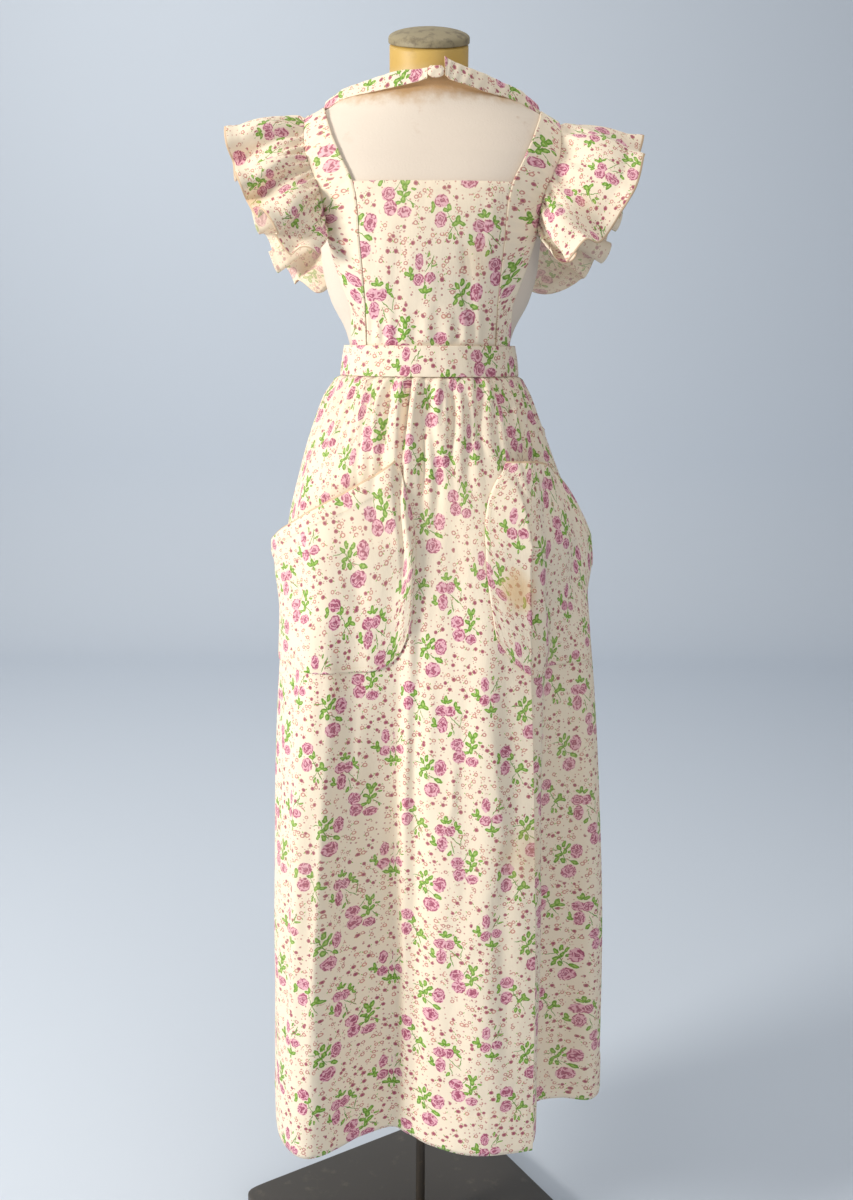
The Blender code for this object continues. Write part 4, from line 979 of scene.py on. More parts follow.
class PinaforeSettings(bpy.types.PropertyGroup):
    """Sizes and colours of the dress, its form and the stage."""

    cloth: FloatProperty(name="Cloth thickness", description="Thickness of one layer of cotton",
                         default=CLOTH, min=0.0008, max=0.003, unit="LENGTH")
    gather: FloatProperty(name="Gather depth", description="Height of the waist gathers, 1 is as built",
                          default=1.0, min=0.2, max=1.3, subtype="FACTOR")
    crease: FloatProperty(name="Creases", description="Depth of the pressed creases, 1 is as built",
                          default=1.0, min=0.0, max=1.3, subtype="FACTOR")
    ruffle: FloatProperty(name="Ruffle folds", description="Height of the ruffle folds at the edge",
                          default=RUFFLE_DEEP, min=0.004, max=0.020, unit="LENGTH")
    cream: color_setting("Cream", "Ground of the cotton", (0.875, 0.76, 0.605))
    rose: color_setting("Rose", "Middle tone of the roses", (0.54, 0.17, 0.25))
    rose_dark: color_setting("Rose lines", "Dark lines of the roses", (0.34, 0.075, 0.14))
    pink: color_setting("Pink", "Light petals", (0.80, 0.46, 0.52))
    leaf: color_setting("Leaf", "Leaves", (0.23, 0.42, 0.06))
    leaf_light: color_setting("Leaf light", "Light middle of the leaves", (0.44, 0.60, 0.18))
    leaf_dark: color_setting("Leaf lines", "Stems and leaf lines", (0.13, 0.28, 0.035))
    bud: color_setting("Bud", "Small buds", (0.45, 0.18, 0.185))
    coral: color_setting("Coral", "Tiny dots", (0.64, 0.29, 0.23))
    # Edge colour: partly worn folded edge, partly painted shade of the gaps at seams, pocket mouths and
    # ruffle hems.
    edge: color_setting("Edge", "Worn folded edges of the cotton", (0.66, 0.48, 0.32))
    canvas: color_setting("Canvas", "Cover of the form", (0.74, 0.64, 0.545))
    neck: color_setting("Neck", "Painted neck", (0.60, 0.39, 0.10))
    cap: color_setting("Cap", "Wooden cap", (0.30, 0.25, 0.15))
    pole: color_setting("Pole", "Steel pole", (0.10, 0.085, 0.07))
    plate: color_setting("Base", "Painted base", (0.072, 0.065, 0.058))
    thread_color: color_setting("Thread", "Sewing thread", (0.80, 0.68, 0.47))
    wall: color_setting("Backdrop", "Wall and floor", (0.63, 0.69, 0.775))


class Builder:
    """Shared settings of the operators."""

    bl_options = {"REGISTER", "UNDO"}

    def settings(self):
        """The scene's settings."""
        return bpy.context.scene.pinafore

    def sew(self, name, points, uv, thick=None, **wall):
        """A piece of printed cloth on the body, in place of the CAD node of its name."""
        s = self.settings()
        obj = cloth_wall(name, points, uv, cottons(s), thick or s.cloth, **wall)
        return hand_over(obj, name)


def mouth_height(spec, across):
    """Height of a pocket's slanted mouth, from its inner end at 0 to its outer end at 1."""
    return spec["mouth_in_z"] + (spec["mouth_out_z"] - spec["mouth_in_z"]) * across ** spec["bow"]


def pocket_hollows(turn, z):
    """How far the skirt is pushed in behind the pocket mouths, most just under the line."""
    push = 0.0 * turn
    for row in POCKETS:
        spec = dict(zip(POCKET_COLUMNS, row))
        wide = spec["outer_top"] - spec["inner"] - spec["inner_top"]
        across = np.mod(turn - spec["inner"] - spec["inner_top"] + 0.5, 1.0) - 0.5
        inside = np.clip(across / wide, 0.0, 1.0)
        mouth = mouth_height(spec, inside)
        push -= POCKET_HOLLOW * np.sin(math.pi * inside) ** 0.8 * np.exp(-((z - mouth + 0.006) / 0.020) ** 2)
    return push


def fine_creases(turn, z):
    """Many small soft creases: each is a bell across a slightly slanted line that fades at
    both ends; places come from a seeded table."""
    rng = np.random.default_rng(11)
    push = 0.0 * turn
    for _ in range(SMALL_CREASES):
        at, low = rng.uniform(0.0, 1.0), rng.uniform(0.30, 1.02)
        long, slant = rng.uniform(0.10, 0.34), rng.uniform(-0.022, 0.022)
        half, deep = rng.uniform(0.0032, 0.0085), rng.uniform(-0.0016, 0.0015)
        up = (z - low) / long
        gap = np.mod(turn - at - slant * up + 0.5, 1.0) - 0.5
        push += deep * np.exp(-(gap / half) ** 2) * soft(up / 0.3) * soft((1.0 - up) / 0.3)
    return push


class PINAFORE_OT_skirt(Builder, bpy.types.Operator):
    """Gathered skirt: one tube of cloth, open at the waist and the hem."""

    bl_idname = "pinafore.skirt"
    bl_label = "Build skirt"

    def execute(self, context):
        """Rows are closer together under the band and at the turned hem."""
        s = self.settings()
        heights = np.concatenate([
            SKIRT_TOP_Z + np.array([0.0040, 0.0020, 0.0008]), np.linspace(SKIRT_TOP_Z, 1.15, 37)[:-1],
            np.linspace(1.15, 0.36, 68)[:-1], np.linspace(0.36, HEM_Z, 16)])
        turn, z = np.meshgrid(skirt_turns(SKIRT_TURNS), heights)
        points = skirt_point(turn, z, s.gather, s.crease)
        out = skirt_outward(points[..., :2])
        turned = soft((0.330 - z) / 0.004) * 0.0011 - soft((HEM_Z + 0.003 - z) / 0.003) * 0.0008
        pucker = 0.0005 * np.sin(FULL * 120 * turn) * np.exp(-((z - 0.329) / 0.006) ** 2)
        small = s.crease * fine_creases(turn, z) + pocket_hollows(turn, z)
        points[..., :2] += out * (turned + pucker + small)[..., None]
        uv = arc_uv(points, True, PRINT_START["skirt"]) * np.array([1.0, -1.0])
        self.sew("skirt", points, uv, around=True, outward=-1.0)
        return {"FINISHED"}


class PINAFORE_OT_waistband(Builder, bpy.types.Operator):
    """Waistband, lapped at the centre back, and its button."""

    bl_idname = "pinafore.waistband"
    bl_label = "Build waistband"

    def execute(self, context):
        """An ellipse that narrows upwards; the upper end of the lap is moved out."""
        s = self.settings()
        reach = LAP / 2 / WAIST_X
        angle = np.linspace(-math.pi - reach, math.pi + reach, 420)
        step = BAND_THICK + SEAM
        share = np.array([0.0, 0.02, 0.06, 0.12, 0.2, 0.35, 0.5, 0.65, 0.8, 0.88, 0.94, 0.98, 1.0])
        a, h = np.meshgrid(angle, share)
        lift = step * soft((-math.pi + 2.2 * reach - a) / (1.1 * reach))
        belly = 0.0005 * np.sin(math.pi * h) - 0.0004 * (np.abs(h - 0.5) > 0.48)
        ripple = 0.0004 * np.sin(31 * a + 4 * h) * np.sin(math.pi * h) * np.sin(3 * a + 1) * s.crease
        flat = np.stack([CENTRE_X + (WAIST_X - BAND_TAPER * h) * np.sin(a),
                         -(WAIST_Y - BAND_TAPER * h) * np.cos(a)], axis=-1)
        out = unit(flat - np.array([CENTRE_X, 0.0]))
        flat = flat + out * (lift + belly + ripple)[..., None]
        z = BAND_Z[0] + (BAND_Z[1] - BAND_Z[0]) * h
        points = np.concatenate([flat, z[..., None]], axis=-1)
        self.sew("waistband", points, arc_uv(points, False, PRINT_START["waistband"]), BAND_THICK)
        turn = np.linspace(0.0, FULL, 48, endpoint=False)
        back = WAIST_Y - BAND_TAPER / 2 + step + BUTTON_OFF
        profile = ((BUTTON_R - 0.001, 0.0), (BUTTON_R, 0.0008), (BUTTON_R, BUTTON_H - 0.0012),
                   (BUTTON_R - 0.0012, BUTTON_H), (BUTTON_R - 0.0022, BUTTON_H - 0.0006),
                   (0.0015, BUTTON_H - 0.0008))
        rings = [np.stack([CENTRE_X - r * np.sin(turn), 0 * turn + back + deep,
                           sum(BAND_Z) / 2 + r * np.cos(turn)], axis=-1) for r, deep in profile]
        mat = plain_material("button_shell", (0.78, 0.72, 0.60), 0.35)
        hand_over(ring_skin("waist_button", rings, [mat]), "waist_button")
        return {"FINISHED"}


def strap_grid(side):
    """Strap points, evenly spaced along their run, their place across, their angle, and how
    free of the waistband they are (0 to 1)."""
    fine = np.linspace(STRAP[0][0], STRAP[-1][0], 400)
    line = strap_surface(1, fine, np.zeros(400), np.zeros(400))
    run = run_along(line)
    rows, cols = STRAP_CELLS
    angles = np.interp(np.linspace(0.0, run[-1], rows - 2 * STRAP_LEAD), run, fine)
    across, angle = np.meshgrid(np.linspace(0, 1, cols), angles)
    points = strap_surface(side, angle, across, EASE + CLOTH)
    points = np.concatenate([into_band(points[0])[::-1], points, into_band(points[-1])])
    lead = ((STRAP_LEAD, STRAP_LEAD), (0, 0))
    across, angle = (np.pad(values, lead, mode="edge") for values in (across, angle))
    return points, across, angle, soft((points[..., 2] - BAND_Z[1] - 0.002) / 0.014)


def into_band(row):
    """Rows that lead straight from a strap's end row to just inside the waistband."""
    inset = BAND_TAPER + BAND_THICK + SEAM
    x = row[:, 0] - CENTRE_X
    deep = (WAIST_Y - inset) * np.sqrt(1.0 - (x / (WAIST_X - inset)) ** 2)
    foot = np.stack([row[:, 0], np.sign(row[:, 1]) * deep, 0 * x + BAND_Z[1] - BAND_TUCK], axis=-1)
    share = np.linspace(0.0, 1.0, STRAP_LEAD + 1)[1:, None, None]
    return row + (foot - row) * share


class PINAFORE_OT_bodice(Builder, bpy.types.Operator):
    """Bib panel and the two side panels that run on as straps to the back."""

    bl_idname = "pinafore.bodice"
    bl_label = "Build bib and straps"

    def execute(self, context):
        """Each grid lies on the form's front, lifted by the ease, with soft creases."""
        s = self.settings()
        edges = {}
        for name, side in (("strap_left", -1), ("strap_right", 1)):
            points, across, angle, free = strap_grid(side)
            edges[side] = points[:, 0].copy()
            edge = np.minimum(across, 1 - across)
            ripple = 0.0005 * np.sin(angle * 0.85 + 6 * across) * soft(edge / 0.2)
            pucker = 0.0006 * np.sin(angle * 2.6) * soft((across - 0.7) / 0.2) * soft((1 - across) / 0.08)
            fold = 0.0004 - 0.0006 * soft((edge - 0.16) / 0.02)
            lift = (s.crease * (ripple + pucker) + fold) * free
            points += grid_normals(points, False, side) * lift[..., None]
            uv = PRINT_START[name] + arc_uv(points, False) * np.array([side, 1.0])
            self.sew(name, points, uv, outward=float(side))
        front = STRAP_CELLS[0] // 2
        across, up = grid(90, 150)
        z = BAND_Z[1] - BAND_TUCK + (NECKLINE_Z - BAND_Z[1] + BAND_TUCK) * up
        low, high = (np.interp(z, edge[:front, 2], edge[:front, 0]) + side * BIB_TUCK
                     for side, edge in edges.items())
        x = low + (high - low) * across
        points = np.stack([x, form_front_y(x, z), z], axis=-1)
        slope = form_slope(points)
        beside = np.minimum(x - low, high - x)
        down = np.maximum(0.0017 * soft((0.075 - up) / 0.06), 0.0014 * soft((0.0042 - beside) / 0.0016))
        points[..., 1] += (EASE + CLOTH - down) / slope[..., 1]
        gathered = 0.0013 * np.sin(FULL * (9 * across + 0.5 * np.sin(FULL * across)))
        gathered = gathered * soft((0.30 - up) / 0.22)
        soft_fold = crease_push(across, up, BIB_CREASES, False)
        hem = 0.0006 * soft((up - 0.93) / 0.012) - 0.0006 * soft((up - 0.985) / 0.015)
        sides = soft(np.minimum(across, 1 - across) / 0.05)
        lift = s.crease * (gathered * soft((up - 0.03) / 0.03) + soft_fold) * sides + hem
        points[..., 1] -= np.maximum(lift, -0.0015)
        uv = PRINT_START["bib_center"] + np.stack([x - x.min(), up * 0.196], axis=-1)
        self.sew("bib_center", points, uv)
        return {"FINISHED"}


class PINAFORE_OT_ruffles(Builder, bpy.types.Operator):
    """Two gathered shoulder ruffles along the outer edges of the straps."""

    bl_idname = "pinafore.ruffles"
    bl_label = "Build ruffles"

    def execute(self, context):
        """Seam point + way out times width + a wave across it that grows to the free edge.

        Near the seam small gathers replace the broad folds."""
        s = self.settings()
        reach, along = grid(280, 40)
        angle = RUFFLE_ENDS[0] + (RUFFLE_ENDS[1] - RUFFLE_ENDS[0]) * along[:, 0]
        for name, side, shift, fuller in (("ruffle_left", -1, 0.6, 0.90),
                                          ("ruffle_right", 1, 0.0, 1.0)):
            lift = np.full_like(angle, EASE + CLOTH)
            seam = strap_surface(side, angle, np.full_like(angle, 1.0), lift)
            beside = unit(seam - strap_surface(side, angle, np.full_like(angle, 0.8), lift))
            seam = seam + beside * (SEAM + CLOTH)
            width, out, back, rise = (column_at(RUFFLE, RUFFLE_COLUMNS, "along", column, along[:, 0])
                                      for column in RUFFLE_COLUMNS[1:])
            width = fuller * width
            way = unit(np.stack([side * out, back, rise], axis=-1))
            normal = unit(np.cross(way, unit(np.gradient(seam, axis=0)))) * side
            phase = FULL * (RUFFLE_WAVES * along + 0.35 * np.sin(FULL * (1.5 * along + shift)))
            wave = np.sin(phase + 2.0 * shift) + s.crease * 0.22 * np.sin(2 * phase + 1.0 + shift)
            ends = soft(along / 0.06) * soft((1 - along) / 0.06)
            small = RUFFLE_SMALL * np.sin(4.0 * phase + 3 * np.sin(FULL * 2 * along))
            small = small * soft(reach / 0.06) * (1 - soft((reach - 0.05) / 0.45))
            small = small + 0.0010 * np.sin(3 * phase + 5 * reach) * reach
            puff = RUFFLE_PUFF * np.sin(math.pi * np.minimum(reach, 0.8))
            rise = (s.ruffle * reach ** 0.8 * wave + puff + s.crease * small) * ends
            edge = 0.0005 * soft((reach - 0.90) / 0.01) - 0.0005 * soft((reach - 0.985) / 0.012)
            under = 1.0 - soft(reach / 0.045)
            lean = -RUFFLE_LEAN * s.crease * np.sin(2 * phase + 4.0 * shift) * reach ** 1.2 * ends
            points = (seam[:, None] + way[:, None] * (width[:, None] * reach)[..., None]
                      + normal[:, None] * (rise + edge - 0.0016 * under)[..., None]
                      - beside[:, None] * (0.003 * under)[..., None]
                      + unit(np.gradient(seam, axis=0))[:, None] * lean[..., None])
            run = run_along(points[:, 30])[:, None] + 0 * reach
            uv = PRINT_START[name] + np.stack([run, -side * reach * 0.115], axis=-1)
            # The free edge column takes the edge colour: partly worn hem, partly painted shade of its roll.
            self.sew(name, points, uv, outward=float(side), worn="column")
        return {"FINISHED"}


def pocket_grid(row, s):
    """Pocket points on the skirt, moved out: more where the slanted mouth gapes. And its side."""
    spec = dict(zip(POCKET_COLUMNS, row))
    across, up = grid(*POCKET_CELLS)
    mouth = mouth_height(spec, across)
    foot = spec["foot_z"] + POCKET_ROUND * np.clip(1 - across / 0.30, 0, 1) ** 2.2
    z = foot + (mouth - foot) * up
    side = -1.0 if spec["inner"] > 0.5 else 1.0
    inner = spec["inner"] + spec["inner_top"] * up ** 5 + 0.011 * side * (1 - up) ** 2
    outer = spec["outer_low"] + (spec["outer_top"] - spec["outer_low"]) * up
    turn = inner + (outer - inner) * across
    base = skirt_point(turn, z, s.gather, s.crease)
    out = skirt_outward(base[..., :2])
    belly = np.sin(math.pi * across) ** 0.7
    ear = spec["ear"] * np.clip((across - 0.55) / 0.45, 0, 1) * soft((up - 0.6) / 0.4)
    held = 0.3 + 0.7 * soft(np.minimum(across / spec["slack"], (1 - across) / 0.2)) * soft(up / 0.12)
    stand = (SEAM + CLOTH + POCKET_OFF * held + spec["gape"] * soft((up - 0.35) / 0.65) * belly + ear
             + 0.004 * np.sin(math.pi * up) * belly)
    inside = soft(np.minimum(across, 1 - across) / 0.08) * soft(up / 0.06)
    folds = crease_push(across, up, POCKET_CREASES[spec["name"]], False) * inside
    hem = 0.0011 * soft((up - 0.905) / 0.010) - 0.0006 * soft((up - 0.988) / 0.012)
    folds = np.maximum(s.crease * folds, SEAM + CLOTH - stand)
    base[..., :2] += out * (stand + folds + hem)[..., None]
    return base, side


class PINAFORE_OT_pockets(Builder, bpy.types.Operator):
    """Big patch pockets with slanted mouths that gape."""

    bl_idname = "pinafore.pockets"
    bl_label = "Build pockets"

    def execute(self, context):
        """The pocket grid with a turned hem along its mouth."""
        s = self.settings()
        for row in POCKETS:
            points, side = pocket_grid(row, s)
            uv = PRINT_START[row[0]] + arc_uv(points, False) * np.array([side, 1.0])
            # The mouth row takes the edge colour: painted shade standing in for the dark gap under the
            # mouth, partly worn hem.
            self.sew(row[0], points, uv, outward=side, worn="row")
        return {"FINISHED"}


class PINAFORE_OT_ties(Builder, bpy.types.Operator):
    """Neck ties and their knot in front of the neck."""

    bl_idname = "pinafore.ties"
    bl_label = "Build ties"

    def execute(self, context):
        """Strips between a lower and an upper edge, with a soft fold along their middle."""
        s = self.settings()
        for name, rows, side in (("tie_left", TIE_LEFT, -1), ("tie_right", TIE_RIGHT, 1)):
            share, at = grid(120, 12)
            x, y, low, high = (spline(table(rows, TIE_COLUMNS, column), at, False)
                               for column in TIE_COLUMNS)
            low = low - TIE_SAG * soft((0.34 - at) / 0.30)
            z = low + (high - low) * share
            away = unit(np.stack([x - CENTRE_X, y], axis=-1))
            lean = -0.004 * (share - 0.5)
            fold = 0.0011 * np.sin(math.pi * share) * np.sin(FULL * (1.7 * at + 0.2))
            fold = fold * soft(at / 0.1) * soft((1 - at) / 0.12)
            crinkle = 0.0005 * np.sin(FULL * (9 * at + 0.8 * share))
            crinkle = crinkle * soft(at / 0.1) * soft((1 - at) / 0.1)
            push = lean + s.crease * (np.maximum(fold, -0.0004) + crinkle)
            points = np.stack([x + away[..., 0] * push, y + away[..., 1] * push, z], axis=-1)
            uv = PRINT_START[name] + arc_uv(points, False)[..., ::-1] * np.array([-side, 1.0])
            self.sew(name, points, uv, outward=float(side))
        turn, lat = np.meshgrid(np.linspace(0, FULL, 64, endpoint=False),
                                np.radians(np.linspace(-72, 72, 40)))
        pinch = (1.0 - 0.16 * np.cos(lat) ** 6) * (1 + 0.05 * np.sin(3 * turn + 4 * lat))
        rings = np.stack([
            KNOT_AT[0] + KNOT_SIZE[0] * np.sin(lat) + 0 * turn,
            KNOT_AT[1] + KNOT_SIZE[1] * pinch * np.cos(lat) * np.cos(turn),
            KNOT_AT[2] + KNOT_SIZE[2] * pinch * np.cos(lat) * np.sin(turn)], axis=-1)
        obj = ring_skin("tie_knot", rings, cottons(s)[:1])
        hand_over(obj, "tie_knot")
        return {"FINISHED"}


class PINAFORE_OT_form(Builder, bpy.types.Operator):
    """Torso of the dress form, its wooden neck and domed cap."""

    bl_idname = "pinafore.form"
    bl_label = "Build dress form"

    def execute(self, context):
        """Superellipse rings from the section table; rings of the neck and cap slope forwards."""
        s = self.settings()
        keys = table(FORM, FORM_COLUMNS, "z")
        heights = np.unique(np.concatenate([keys, np.linspace(keys[0], keys[-1], 120)]))
        turn, z = np.meshgrid(np.linspace(0.0, FULL, 160, endpoint=False), heights)
        half_x, half_y, power, mid = form_section(z)
        under_ties = np.exp(-((z - 1.641) / 0.010) ** 2) * soft((z - 1.629) / 0.006)
        half_x = half_x * (1.0 + SHOULDER_FILL * under_ties)
        side = np.sign(np.sin(turn)) * np.abs(np.sin(turn)) ** (2.0 / power)
        deep = np.sign(np.cos(turn)) * np.abs(np.cos(turn)) ** (2.0 / power)
        y = -half_y * deep
        z = z + FOOT_TILT * y * soft((z - 1.652) / 0.015)
        hand_over(ring_skin("form_torso", np.stack([mid + half_x * side, y, z], axis=-1),
                            [canvas_material(s)]), "form_torso")
        turn = np.linspace(0.0, FULL, 128, endpoint=False)

        def rings(profile):
            """Rings from radius, height and tilt."""
            made = []
            for radius, height, tilt in profile:
                y = -radius * np.cos(turn)
                made.append(np.stack([NECK_X + radius * np.sin(turn), y, height + tilt * y], axis=-1))
            return made

        neck = [(NECK_R - 0.0006, NECK_FOOT_Z, FOOT_TILT), (NECK_R, NECK_FOOT_Z + 0.0006, FOOT_TILT)]
        for share in np.linspace(0.1, 0.94, 8):
            neck.append((NECK_R, NECK_FOOT_Z + (NECK_TOP_Z - NECK_FOOT_Z) * share,
                         FOOT_TILT + (CAP_TILT - FOOT_TILT) * share))
        neck += [(NECK_R - 0.0010, NECK_TOP_Z - 0.0016, CAP_TILT),
                 (NECK_R - 0.0014, NECK_TOP_Z - 2 * SEAM, CAP_TILT)]
        hand_over(ring_skin("neck_band", rings(neck), [neck_material(s)]), "neck_band")
        cap = [(CAP_R - 0.0012, NECK_TOP_Z, CAP_TILT), (CAP_R - 0.0003, NECK_TOP_Z + 0.0007, CAP_TILT),
               (CAP_R, NECK_TOP_Z + 0.0018, CAP_TILT), (CAP_R, NECK_TOP_Z + CAP_RIM - 0.001, CAP_TILT)]
        for share in np.linspace(0.04, 0.97, 22):
            bend = share * math.pi / 2
            dome_z = NECK_TOP_Z + CAP_RIM + CAP_DOME * math.sin(bend)
            cap.append((CAP_R * math.cos(bend), dome_z, CAP_TILT))
        mat = plain_material("cap_wood", s.cap, 0.6, specks=((0.13, 0.10, 0.06), 0.48, 0.68, 0.75),
                             bump_size=0.0008, scale=75.0)
        hand_over(ring_skin("neck_cap", rings(cap), [mat]), "neck_cap")
        return {"FINISHED"}


class PINAFORE_OT_stand(Builder, bpy.types.Operator):
    """Pole and square base of the form."""

    bl_idname = "pinafore.stand"
    bl_label = "Build stand"

    def execute(self, context):
        """A round pole, and a square whose corners and edges are rounded."""
        s = self.settings()
        turn = np.linspace(0.0, FULL, 64, endpoint=False)
        heights = np.linspace(BASE_H + SEAM, FORM[0][0] - SEAM, 24)
        rings = [np.stack([POLE_R * np.sin(turn), -POLE_R * np.cos(turn), 0 * turn + z], axis=-1)
                 for z in heights]
        mat = plain_material("pole_steel", s.pole, 0.42, 0.75, ((0.22, 0.16, 0.10), 0.5, 0.75, 0.6),
                             0.0003, 90.0)
        pole = hand_over(ring_skin("stand_pole", rings, [mat]), "stand_pole")
        sharpen(pole, 50)
        power = 26.0
        turn = np.linspace(0.0, FULL, 320, endpoint=False) + math.pi / 4
        shape = (np.abs(np.cos(turn)) ** power + np.abs(np.sin(turn)) ** power) ** (-1.0 / power)
        rings = []
        for inset, z in ((0.004, 0.0), (0.0012, 0.0008), (0.0, 0.003), (0.0, BASE_H - 0.003),
                         (0.0008, BASE_H - 0.0012), (0.0025, BASE_H - 0.0002), (0.004, BASE_H),
                         (0.05, BASE_H), (0.12, BASE_H)):
            x = (BASE_SIDE / 2 - inset) * shape * np.cos(turn)
            y = (BASE_SIDE / 2 - inset) * shape * np.sin(turn)
            rings.append(np.stack([x * math.cos(BASE_TURN) - y * math.sin(BASE_TURN),
                                   x * math.sin(BASE_TURN) + y * math.cos(BASE_TURN), 0 * x + z], axis=-1))
        mat = plain_material("base_paint", s.plate, 0.55, 0.0, ((0.16, 0.14, 0.11), 0.56, 0.80, 0.6),
                             0.0006, 42.0)
        base = hand_over(ring_skin("stand_base", rings, [mat]), "stand_base")
        sharpen(base, 35)
        return {"FINISHED"}


def dashes(line, normal, length=0.0026, gap=0.0013, half=0.00014):
    """Machine stitches along a line: small boxes, evenly spaced by run, lying on the cloth.

    Returns their points, eight to a stitch."""
    run = run_along(line)
    count = int(run[-1] / (length + gap))
    middle = (np.arange(count) + 0.5) * (length + gap)

    def along(values, at):
        """Values read at places along the run."""
        return np.stack([np.interp(at, run, values[:, i]) for i in range(3)], axis=-1)

    a, b = along(line, middle - length / 2), along(line, middle + length / 2)
    up = unit(along(normal, middle))
    way = unit(b - a)
    side = np.cross(way, up)
    corners = []
    for end in (a, b):
        for sx, sy in ((-1, 0), (1, 0), (1, 1), (-1, 1)):
            corners.append(end + side * sx * half + up * (sy * half * 1.6 + 0.00002))
    return np.stack(corners, axis=1)


def stitch_object(name, groups, mats):
    """One object of all the stitches of a piece."""
    boxes = np.concatenate(groups)
    shape = np.array([[0, 1, 2, 3], [7, 6, 5, 4], [0, 4, 5, 1],
                      [1, 5, 6, 2], [2, 6, 7, 3], [3, 7, 4, 0]])
    faces = (shape[None] + np.arange(len(boxes))[:, None, None] * 8).reshape(-1, 4)[:, ::-1]
    corners = np.zeros((len(faces), 4, 2))
    obj = make_object(name, boxes.reshape(-1, 3), faces, corners, mats, np.zeros(len(faces)), False)
    return hand_over(obj)


class PINAFORE_OT_stitches(Builder, bpy.types.Operator):
    """Stitch lines: hem, pocket edges and mouths, and the straps' inner edges."""

    bl_idname = "pinafore.stitches"
    bl_label = "Build stitches"

    def execute(self, context):
        """Each line is a row or column of the piece's own grid."""
        s = self.settings()
        mats = [plain_material("sewing_thread", s.thread_color, 0.8)]
        turn = np.linspace(0.0, 1.0, 2400)
        line = skirt_point(turn, np.full_like(turn, HEM_STITCH_Z), s.gather, s.crease)
        out = skirt_outward(line[:, :2])
        normal = np.concatenate([out, 0 * out[:, :1]], axis=-1)
        line[:, :2] += out * 0.0006
        stitch_object("stitches_hem", [dashes(line, normal)], mats)
        for row in POCKETS:
            points, side = pocket_grid(row, s)
            normal = grid_normals(points, False, side)
            lines = [(points[:, 2], normal[:, 2]), (points[3], normal[3]), (points[:, -3], normal[:, -3]),
                     (points[-10], normal[-10])]
            stitch_object("stitches_" + row[0], [dashes(a, b) for a, b in lines], mats)
        for name, side in (("left", -1), ("right", 1)):
            points = strap_grid(side)[0]
            normal = grid_normals(points, False, side)
            points = points + normal * 0.0005
            stitch_object("stitches_strap_" + name, [dashes(points[:, 1], normal[:, 1])], mats)
        return {"FINISHED"}


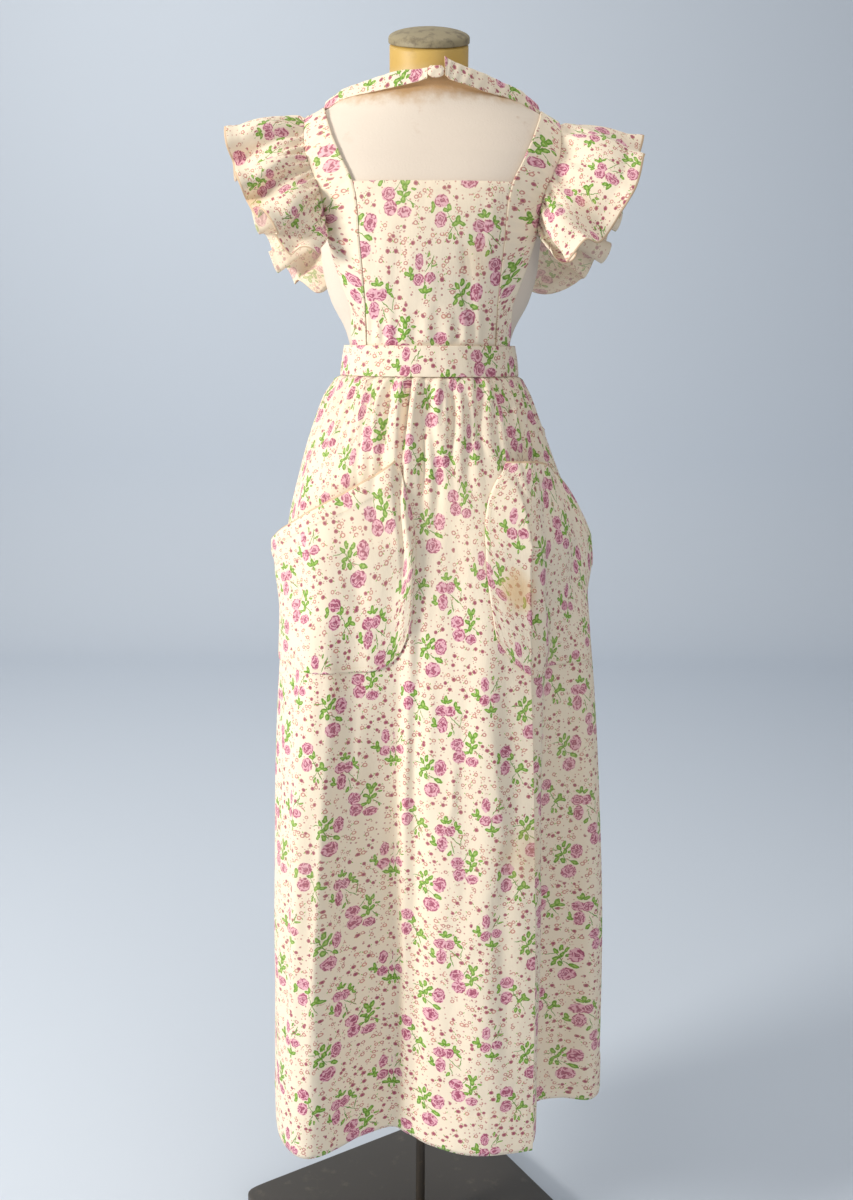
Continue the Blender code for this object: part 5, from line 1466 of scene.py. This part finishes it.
class PINAFORE_OT_stage(Builder, bpy.types.Operator):
    """Backdrop, lights and camera."""

    bl_idname = "pinafore.stage"
    bl_label = "Build stage"

    def execute(self, context):
        """A floor that bends up into a wall, four soft lights and a camera that looks down."""
        s = self.settings()
        bend = np.linspace(0.0, math.pi / 2, 16)
        depth = np.concatenate([[STAGE_FRONT_Y], WALL_Y - WALL_BEND + WALL_BEND * np.sin(bend), [WALL_Y]])
        height = np.concatenate([[0.0], WALL_BEND - WALL_BEND * np.cos(bend), [STAGE_SIZE]]) - 0.0005
        x, _ = np.meshgrid(np.linspace(-STAGE_SIZE, STAGE_SIZE, 12), depth)
        points = np.stack([x, np.broadcast_to(depth[:, None], x.shape),
                           np.broadcast_to(height[:, None], x.shape)], axis=-1)
        rows, cols = x.shape
        index = np.arange(rows * cols).reshape(rows, cols)
        faces = np.stack([index[:-1, :-1], index[:-1, 1:], index[1:, 1:], index[1:, :-1]],
                         axis=-1).reshape(-1, 4)
        mat = plain_material("backdrop_paint", s.wall, 0.9)
        made = [make_object("backdrop", points.reshape(-1, 3), faces, np.zeros((len(faces), 4, 2)), [mat],
                            np.zeros(len(faces)))]
        for name, at, aim, size, power in LIGHTS:
            lamp = bpy.data.lights.new(name, "AREA")
            lamp.shape = "DISK"
            lamp.size = size
            lamp.energy = power
            lamp.color = LIGHT_COLOR
            obj = link(bpy.data.objects.new(name, lamp))
            obj.matrix_world = look(at, np.array(aim) - np.array(at))
            made.append(obj)
        world = bpy.data.worlds.new("studio")
        world.use_nodes = True
        world.node_tree.nodes["Background"].inputs[0].default_value = SKY_COLOR
        world.node_tree.nodes["Background"].inputs[1].default_value = SKY_STRENGTH
        bpy.context.scene.world = world
        bpy.context.scene.view_settings.view_transform = "Standard"
        camera = bpy.data.cameras.new("camera")
        camera.lens = CAMERA_LENS
        camera.sensor_width = CAMERA_LENS
        camera.sensor_fit = "AUTO"
        obj = link(bpy.data.objects.new("camera", camera))
        obj.matrix_world = (Matrix.Translation(CAMERA_AT)
                            @ Matrix.Rotation(math.radians(90.0 - CAMERA_DOWN), 4, "X")
                            @ Matrix.Rotation(math.radians(CAMERA_ROLL), 4, "Z"))
        bpy.context.scene.camera = obj
        return {"FINISHED"}


def look(at, way):
    """Matrix of a light at a place, shining along a direction."""
    back = -np.array(way, dtype=float)
    back /= np.linalg.norm(back)
    right = np.cross((0.0, 0.0, 1.0), back)
    right /= np.linalg.norm(right)
    up = np.cross(back, right)
    made = Matrix.Identity(4)
    for row in range(3):
        made[row][0], made[row][1], made[row][2], made[row][3] = right[row], up[row], back[row], at[row]
    return made


class PINAFORE_PT_panel(bpy.types.Panel):
    """Settings and build buttons."""

    bl_label = "Pinafore dress"
    bl_idname = "PINAFORE_PT_panel"
    bl_space_type = "VIEW_3D"
    bl_region_type = "UI"
    bl_category = "Pinafore"

    def draw(self, context):
        """Lists the settings, then the operators in build order."""
        for key in PinaforeSettings.__annotations__:
            self.layout.prop(context.scene.pinafore, key)
        for operator in OPERATORS:
            self.layout.operator(operator.bl_idname)


OPERATORS = (PINAFORE_OT_form, PINAFORE_OT_stand, PINAFORE_OT_skirt, PINAFORE_OT_waistband,
             PINAFORE_OT_bodice, PINAFORE_OT_ruffles, PINAFORE_OT_pockets, PINAFORE_OT_ties,
             PINAFORE_OT_stitches, PINAFORE_OT_stage)
CLASSES = (PinaforeSettings, *OPERATORS, PINAFORE_PT_panel)


def register():
    """Registers the classes and the settings."""
    for item in CLASSES:
        bpy.utils.register_class(item)
    bpy.types.Scene.pinafore = PointerProperty(type=PinaforeSettings)


def unregister():
    """Takes the settings and classes away again."""
    del bpy.types.Scene.pinafore
    for item in reversed(CLASSES):
        bpy.utils.unregister_class(item)


def main():
    """Builds the dress, its form and the stage."""
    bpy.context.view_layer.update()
    register()
    for operator in OPERATORS:
        group, name = operator.bl_idname.split(".")
        getattr(getattr(bpy.ops, group), name)()
    bpy.context.view_layer.update()


if __name__ == "__main__":
    main()
